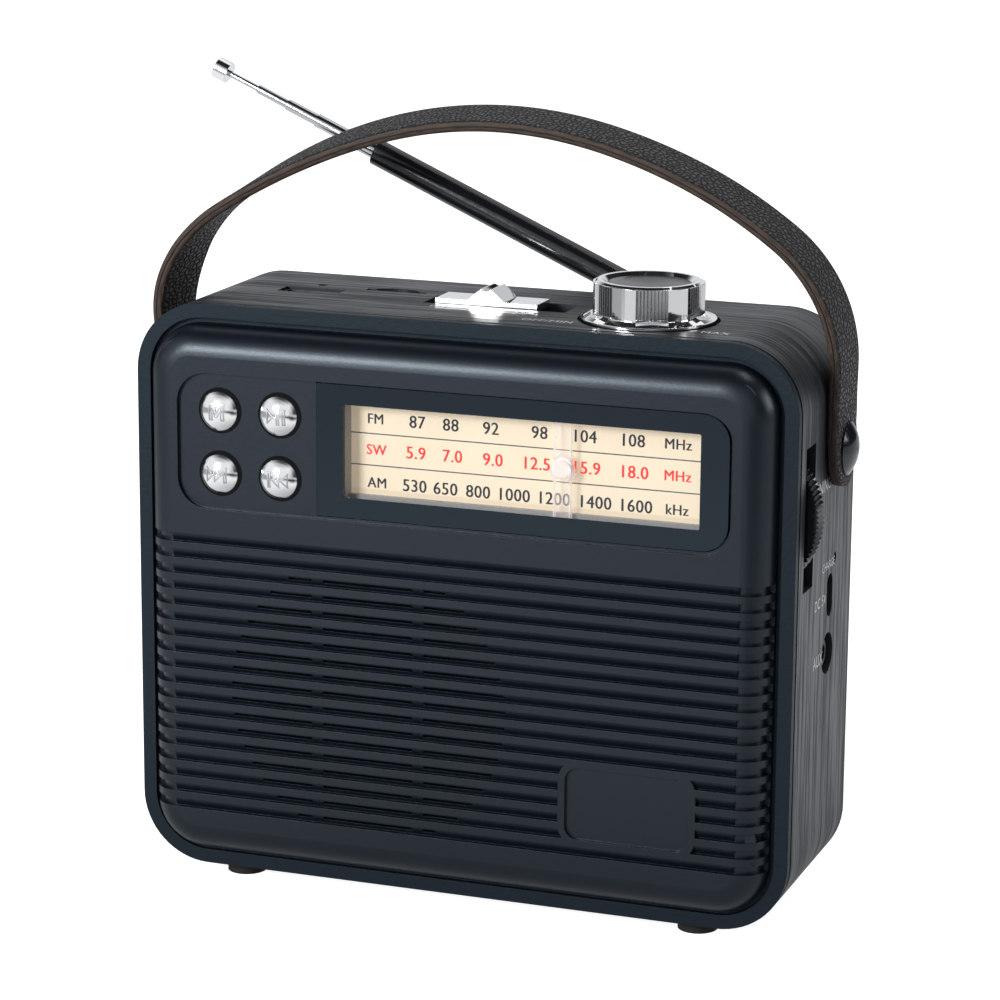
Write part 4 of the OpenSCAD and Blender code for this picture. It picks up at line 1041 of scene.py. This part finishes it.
# Each word with its place and its size in millimetres
SIDE_WORDS = (
    ("TUNING", -4.6, 100.0, 3.0),
    ("CHARGE", 2.6, height("charge_led") - 0.6, 2.1),
    ("DC 5V", -3.6, height("usb_c_socket"), 2.6),
    ("AUX", -4.4, height("aux_jack"), 3.0),
)
TOP_WORDS = (
    ("FM", -11.5, -8.2, 2.2),
    ("AM", -1.4, -8.2, 2.2),
    ("SW", 8.8, -8.2, 2.2),
    ("OFF/MIN", 17.2, -15.6, 2.4),
    ("MAX", 55.6, -15.6, 2.4),
)
words = []
for word, y, z, size in SIDE_WORDS:
    flat = lettering(word, size * WORD_SCALE * MM)
    words.append(laid(flat, (SIDE_X, y * MM, z * MM), AX_Y, AX_Z))
for word, x, y, size in TOP_WORDS:
    flat = lettering(word, size * WORD_SCALE * MM)
    words.append(laid(flat, (x * MM, y * MM, TOP_Z), AX_X, AX_Y))
piece("printed_words", *join(words), [SILVER], "case", "white_plastic", closed=False)
print("printed", len(words), "words")

# %% [markdown]
# The stage is white to the camera. To a reflection it is a studio: a bright sweep behind, a white front
# with a dark ceiling, a black card on the floor at the right front and a greyer floor at the left. These
# draw the light and dark bands on the plated metal and keep the black plastic deep.

# %% World and floor
scene = bpy.context.scene
scene.view_settings.view_transform = "Standard"
SKY_FRONT = (0.88, 0.90, 0.92)
SKY_DARK = (0.02, 0.022, 0.025)
SKY_BRIGHT = (0.74, 0.76, 0.78)
FLOOR_SHADE_NEAR = (0.42, 0.43, 0.44)
FLOOR_PALE = (0.92, 0.94, 0.96)
FLOOR_FAR = (0.66, 0.675, 0.69)
FLOOR_LEFT = (0.36, 0.37, 0.38)
FLOOR_CARD = (0.02, 0.021, 0.023)

world = bpy.data.worlds.new("studio")
scene.world = world
world.use_nodes = True
sky = Tree(world.node_tree)
# Each limit is a direction's share along an axis, from -1 to 1
right, back, up = sky.axes("Generated")
front = back.between(0.1, -0.3) * right.between(0.76, 0.36) * up.between(0.86, 0.50)
behind = back.between(0.15, 0.6) * up.between(0.60, 0.25) * right.between(0.40, 0.15)
studio = sky.mix(behind, sky.mix(front, SKY_DARK, SKY_FRONT), SKY_BRIGHT)
colour = sky.mix(sky.seen_by("Camera"), studio, (1.0, 1.0, 1.0))
sky.tree.links.new(colour.socket, sky.tree.nodes["Background"].inputs["Color"])

HALF = 3.0
floor_mesh = bpy.data.meshes.new("floor")
floor_corners = [(-HALF, -HALF, 0), (HALF, -HALF, 0), (HALF, HALF, 0), (-HALF, HALF, 0)]
floor_mesh.from_pydata(floor_corners, [], [(0, 1, 2, 3)])
floor = bpy.data.objects.new("floor", floor_mesh)
scene.collection.objects.link(floor)
floor_paint = Paint("floor", Roughness=0.9, Emission_Strength=1.0, Specular_IOR_Level=0.0)
# Each limit is a place on the floor, in metres from its middle
across, deep, _ = floor_paint.axes()
away = floor_paint.from_axis((0.0, 0.0, 0.0), 0, 1)
# Painted shade: close round the radio the floor is darker in reflections, as if the radio shaded it
pale = floor_paint.mix(away.between(0.04, 0.22), FLOOR_SHADE_NEAR, FLOOR_PALE)
pale = floor_paint.mix(away.between(0.34, 0.62), pale, FLOOR_FAR)
pale = floor_paint.mix(across.between(-0.34, -0.50), pale, FLOOR_LEFT)
near_card = across.between(0.06, 0.18) * deep.between(-0.16, -0.30) * deep.between(-0.85, -0.70)
far_card = across.between(-0.14, -0.04) * deep.between(-0.62, -0.72) * deep.between(-1.15, -1.0)
card = near_card.math("MAXIMUM", far_card) * across.between(0.66, 0.50)
shown = floor_paint.mix(card, pale, FLOOR_CARD)
fill = floor_paint.mix(floor_paint.seen_by("Diffuse"), shown, (0.15, 0.15, 0.15))
white = floor_paint.mix(away.between(0.2, 0.7), (0.84, 0.84, 0.84), (1.0, 1.0, 1.0))
floor_paint.feed("Emission Color", floor_paint.mix(floor_paint.seen_by("Camera"), fill, white))
body_colour = floor_paint.mix(floor_paint.seen_by("Camera"), (0.02, 0.02, 0.02), (0.8, 0.8, 0.8))
floor_paint.feed("Base Color", body_colour)
floor_mesh.materials.append(floor_paint.material)
print("floor is", 2 * HALF, "m wide")

# %% [markdown]
# Four soft boxes light the radio. The key stands low at the left front and draws the bright line along the
# shoulder of the front. A wide weak one hangs behind, one stands on the right, and a small one over the
# right corner makes the bright spot there.

# %% Lamps


def soft_box(name, place, aim, size, power):
    light = bpy.data.lights.new(name, "AREA")
    light.shape = "RECTANGLE"
    light.size, light.size_y = size
    light.energy = power
    lamp_object = bpy.data.objects.new(name, light)
    lamp_object.location = place
    lamp_object.rotation_euler = (Vector(aim) - Vector(place)).to_track_quat("-Z", "Y").to_euler()
    scene.collection.objects.link(lamp_object)


CENTRE = (0.0, 0.0, 0.07)
soft_box("box_key", (-0.47, -0.97, 0.43), CENTRE, (0.30, 0.30), 10.5)
soft_box("box_top", (-0.05, 0.55, 0.95), CENTRE, (1.2, 0.8), 3.0)
soft_box("box_right", (0.95, 0.15, 0.45), CENTRE, (0.4, 0.4), 3.0)
soft_box("box_corner", (0.30, 0.14, 0.95), CENTRE, (0.16, 0.16), 0.8)

# %% [markdown]
# The camera was solved from the photo: a long lens, above and to the right of the front, with a touch of
# roll.

# %% Camera
CAMERA_AT = Vector((270.08, -742.83, 277.20)) * MM
YAW, PITCH, ROLL = (math.radians(a) for a in (19.919, 13.352, 0.4457))
forward = Vector((-math.sin(YAW) * math.cos(PITCH), math.cos(YAW) * math.cos(PITCH), -math.sin(PITCH)))
level = Vector((math.cos(YAW), math.sin(YAW), 0.0))
upward = level.cross(forward)
side = level * math.cos(ROLL) + upward * math.sin(ROLL)
top = upward * math.cos(ROLL) - level * math.sin(ROLL)
lens = bpy.data.cameras.new("camera")
lens.sensor_width = 36.0
lens.lens = 128.46
lens.clip_start = 0.05
camera = bpy.data.objects.new("camera", lens)
rows = [(side[i], top[i], -forward[i], CAMERA_AT[i]) for i in range(3)]
camera.matrix_world = Matrix((*rows, (0.0, 0.0, 0.0, 1.0)))
scene.collection.objects.link(camera)
scene.camera = camera
print("camera at", tuple(round(v, 3) for v in CAMERA_AT))
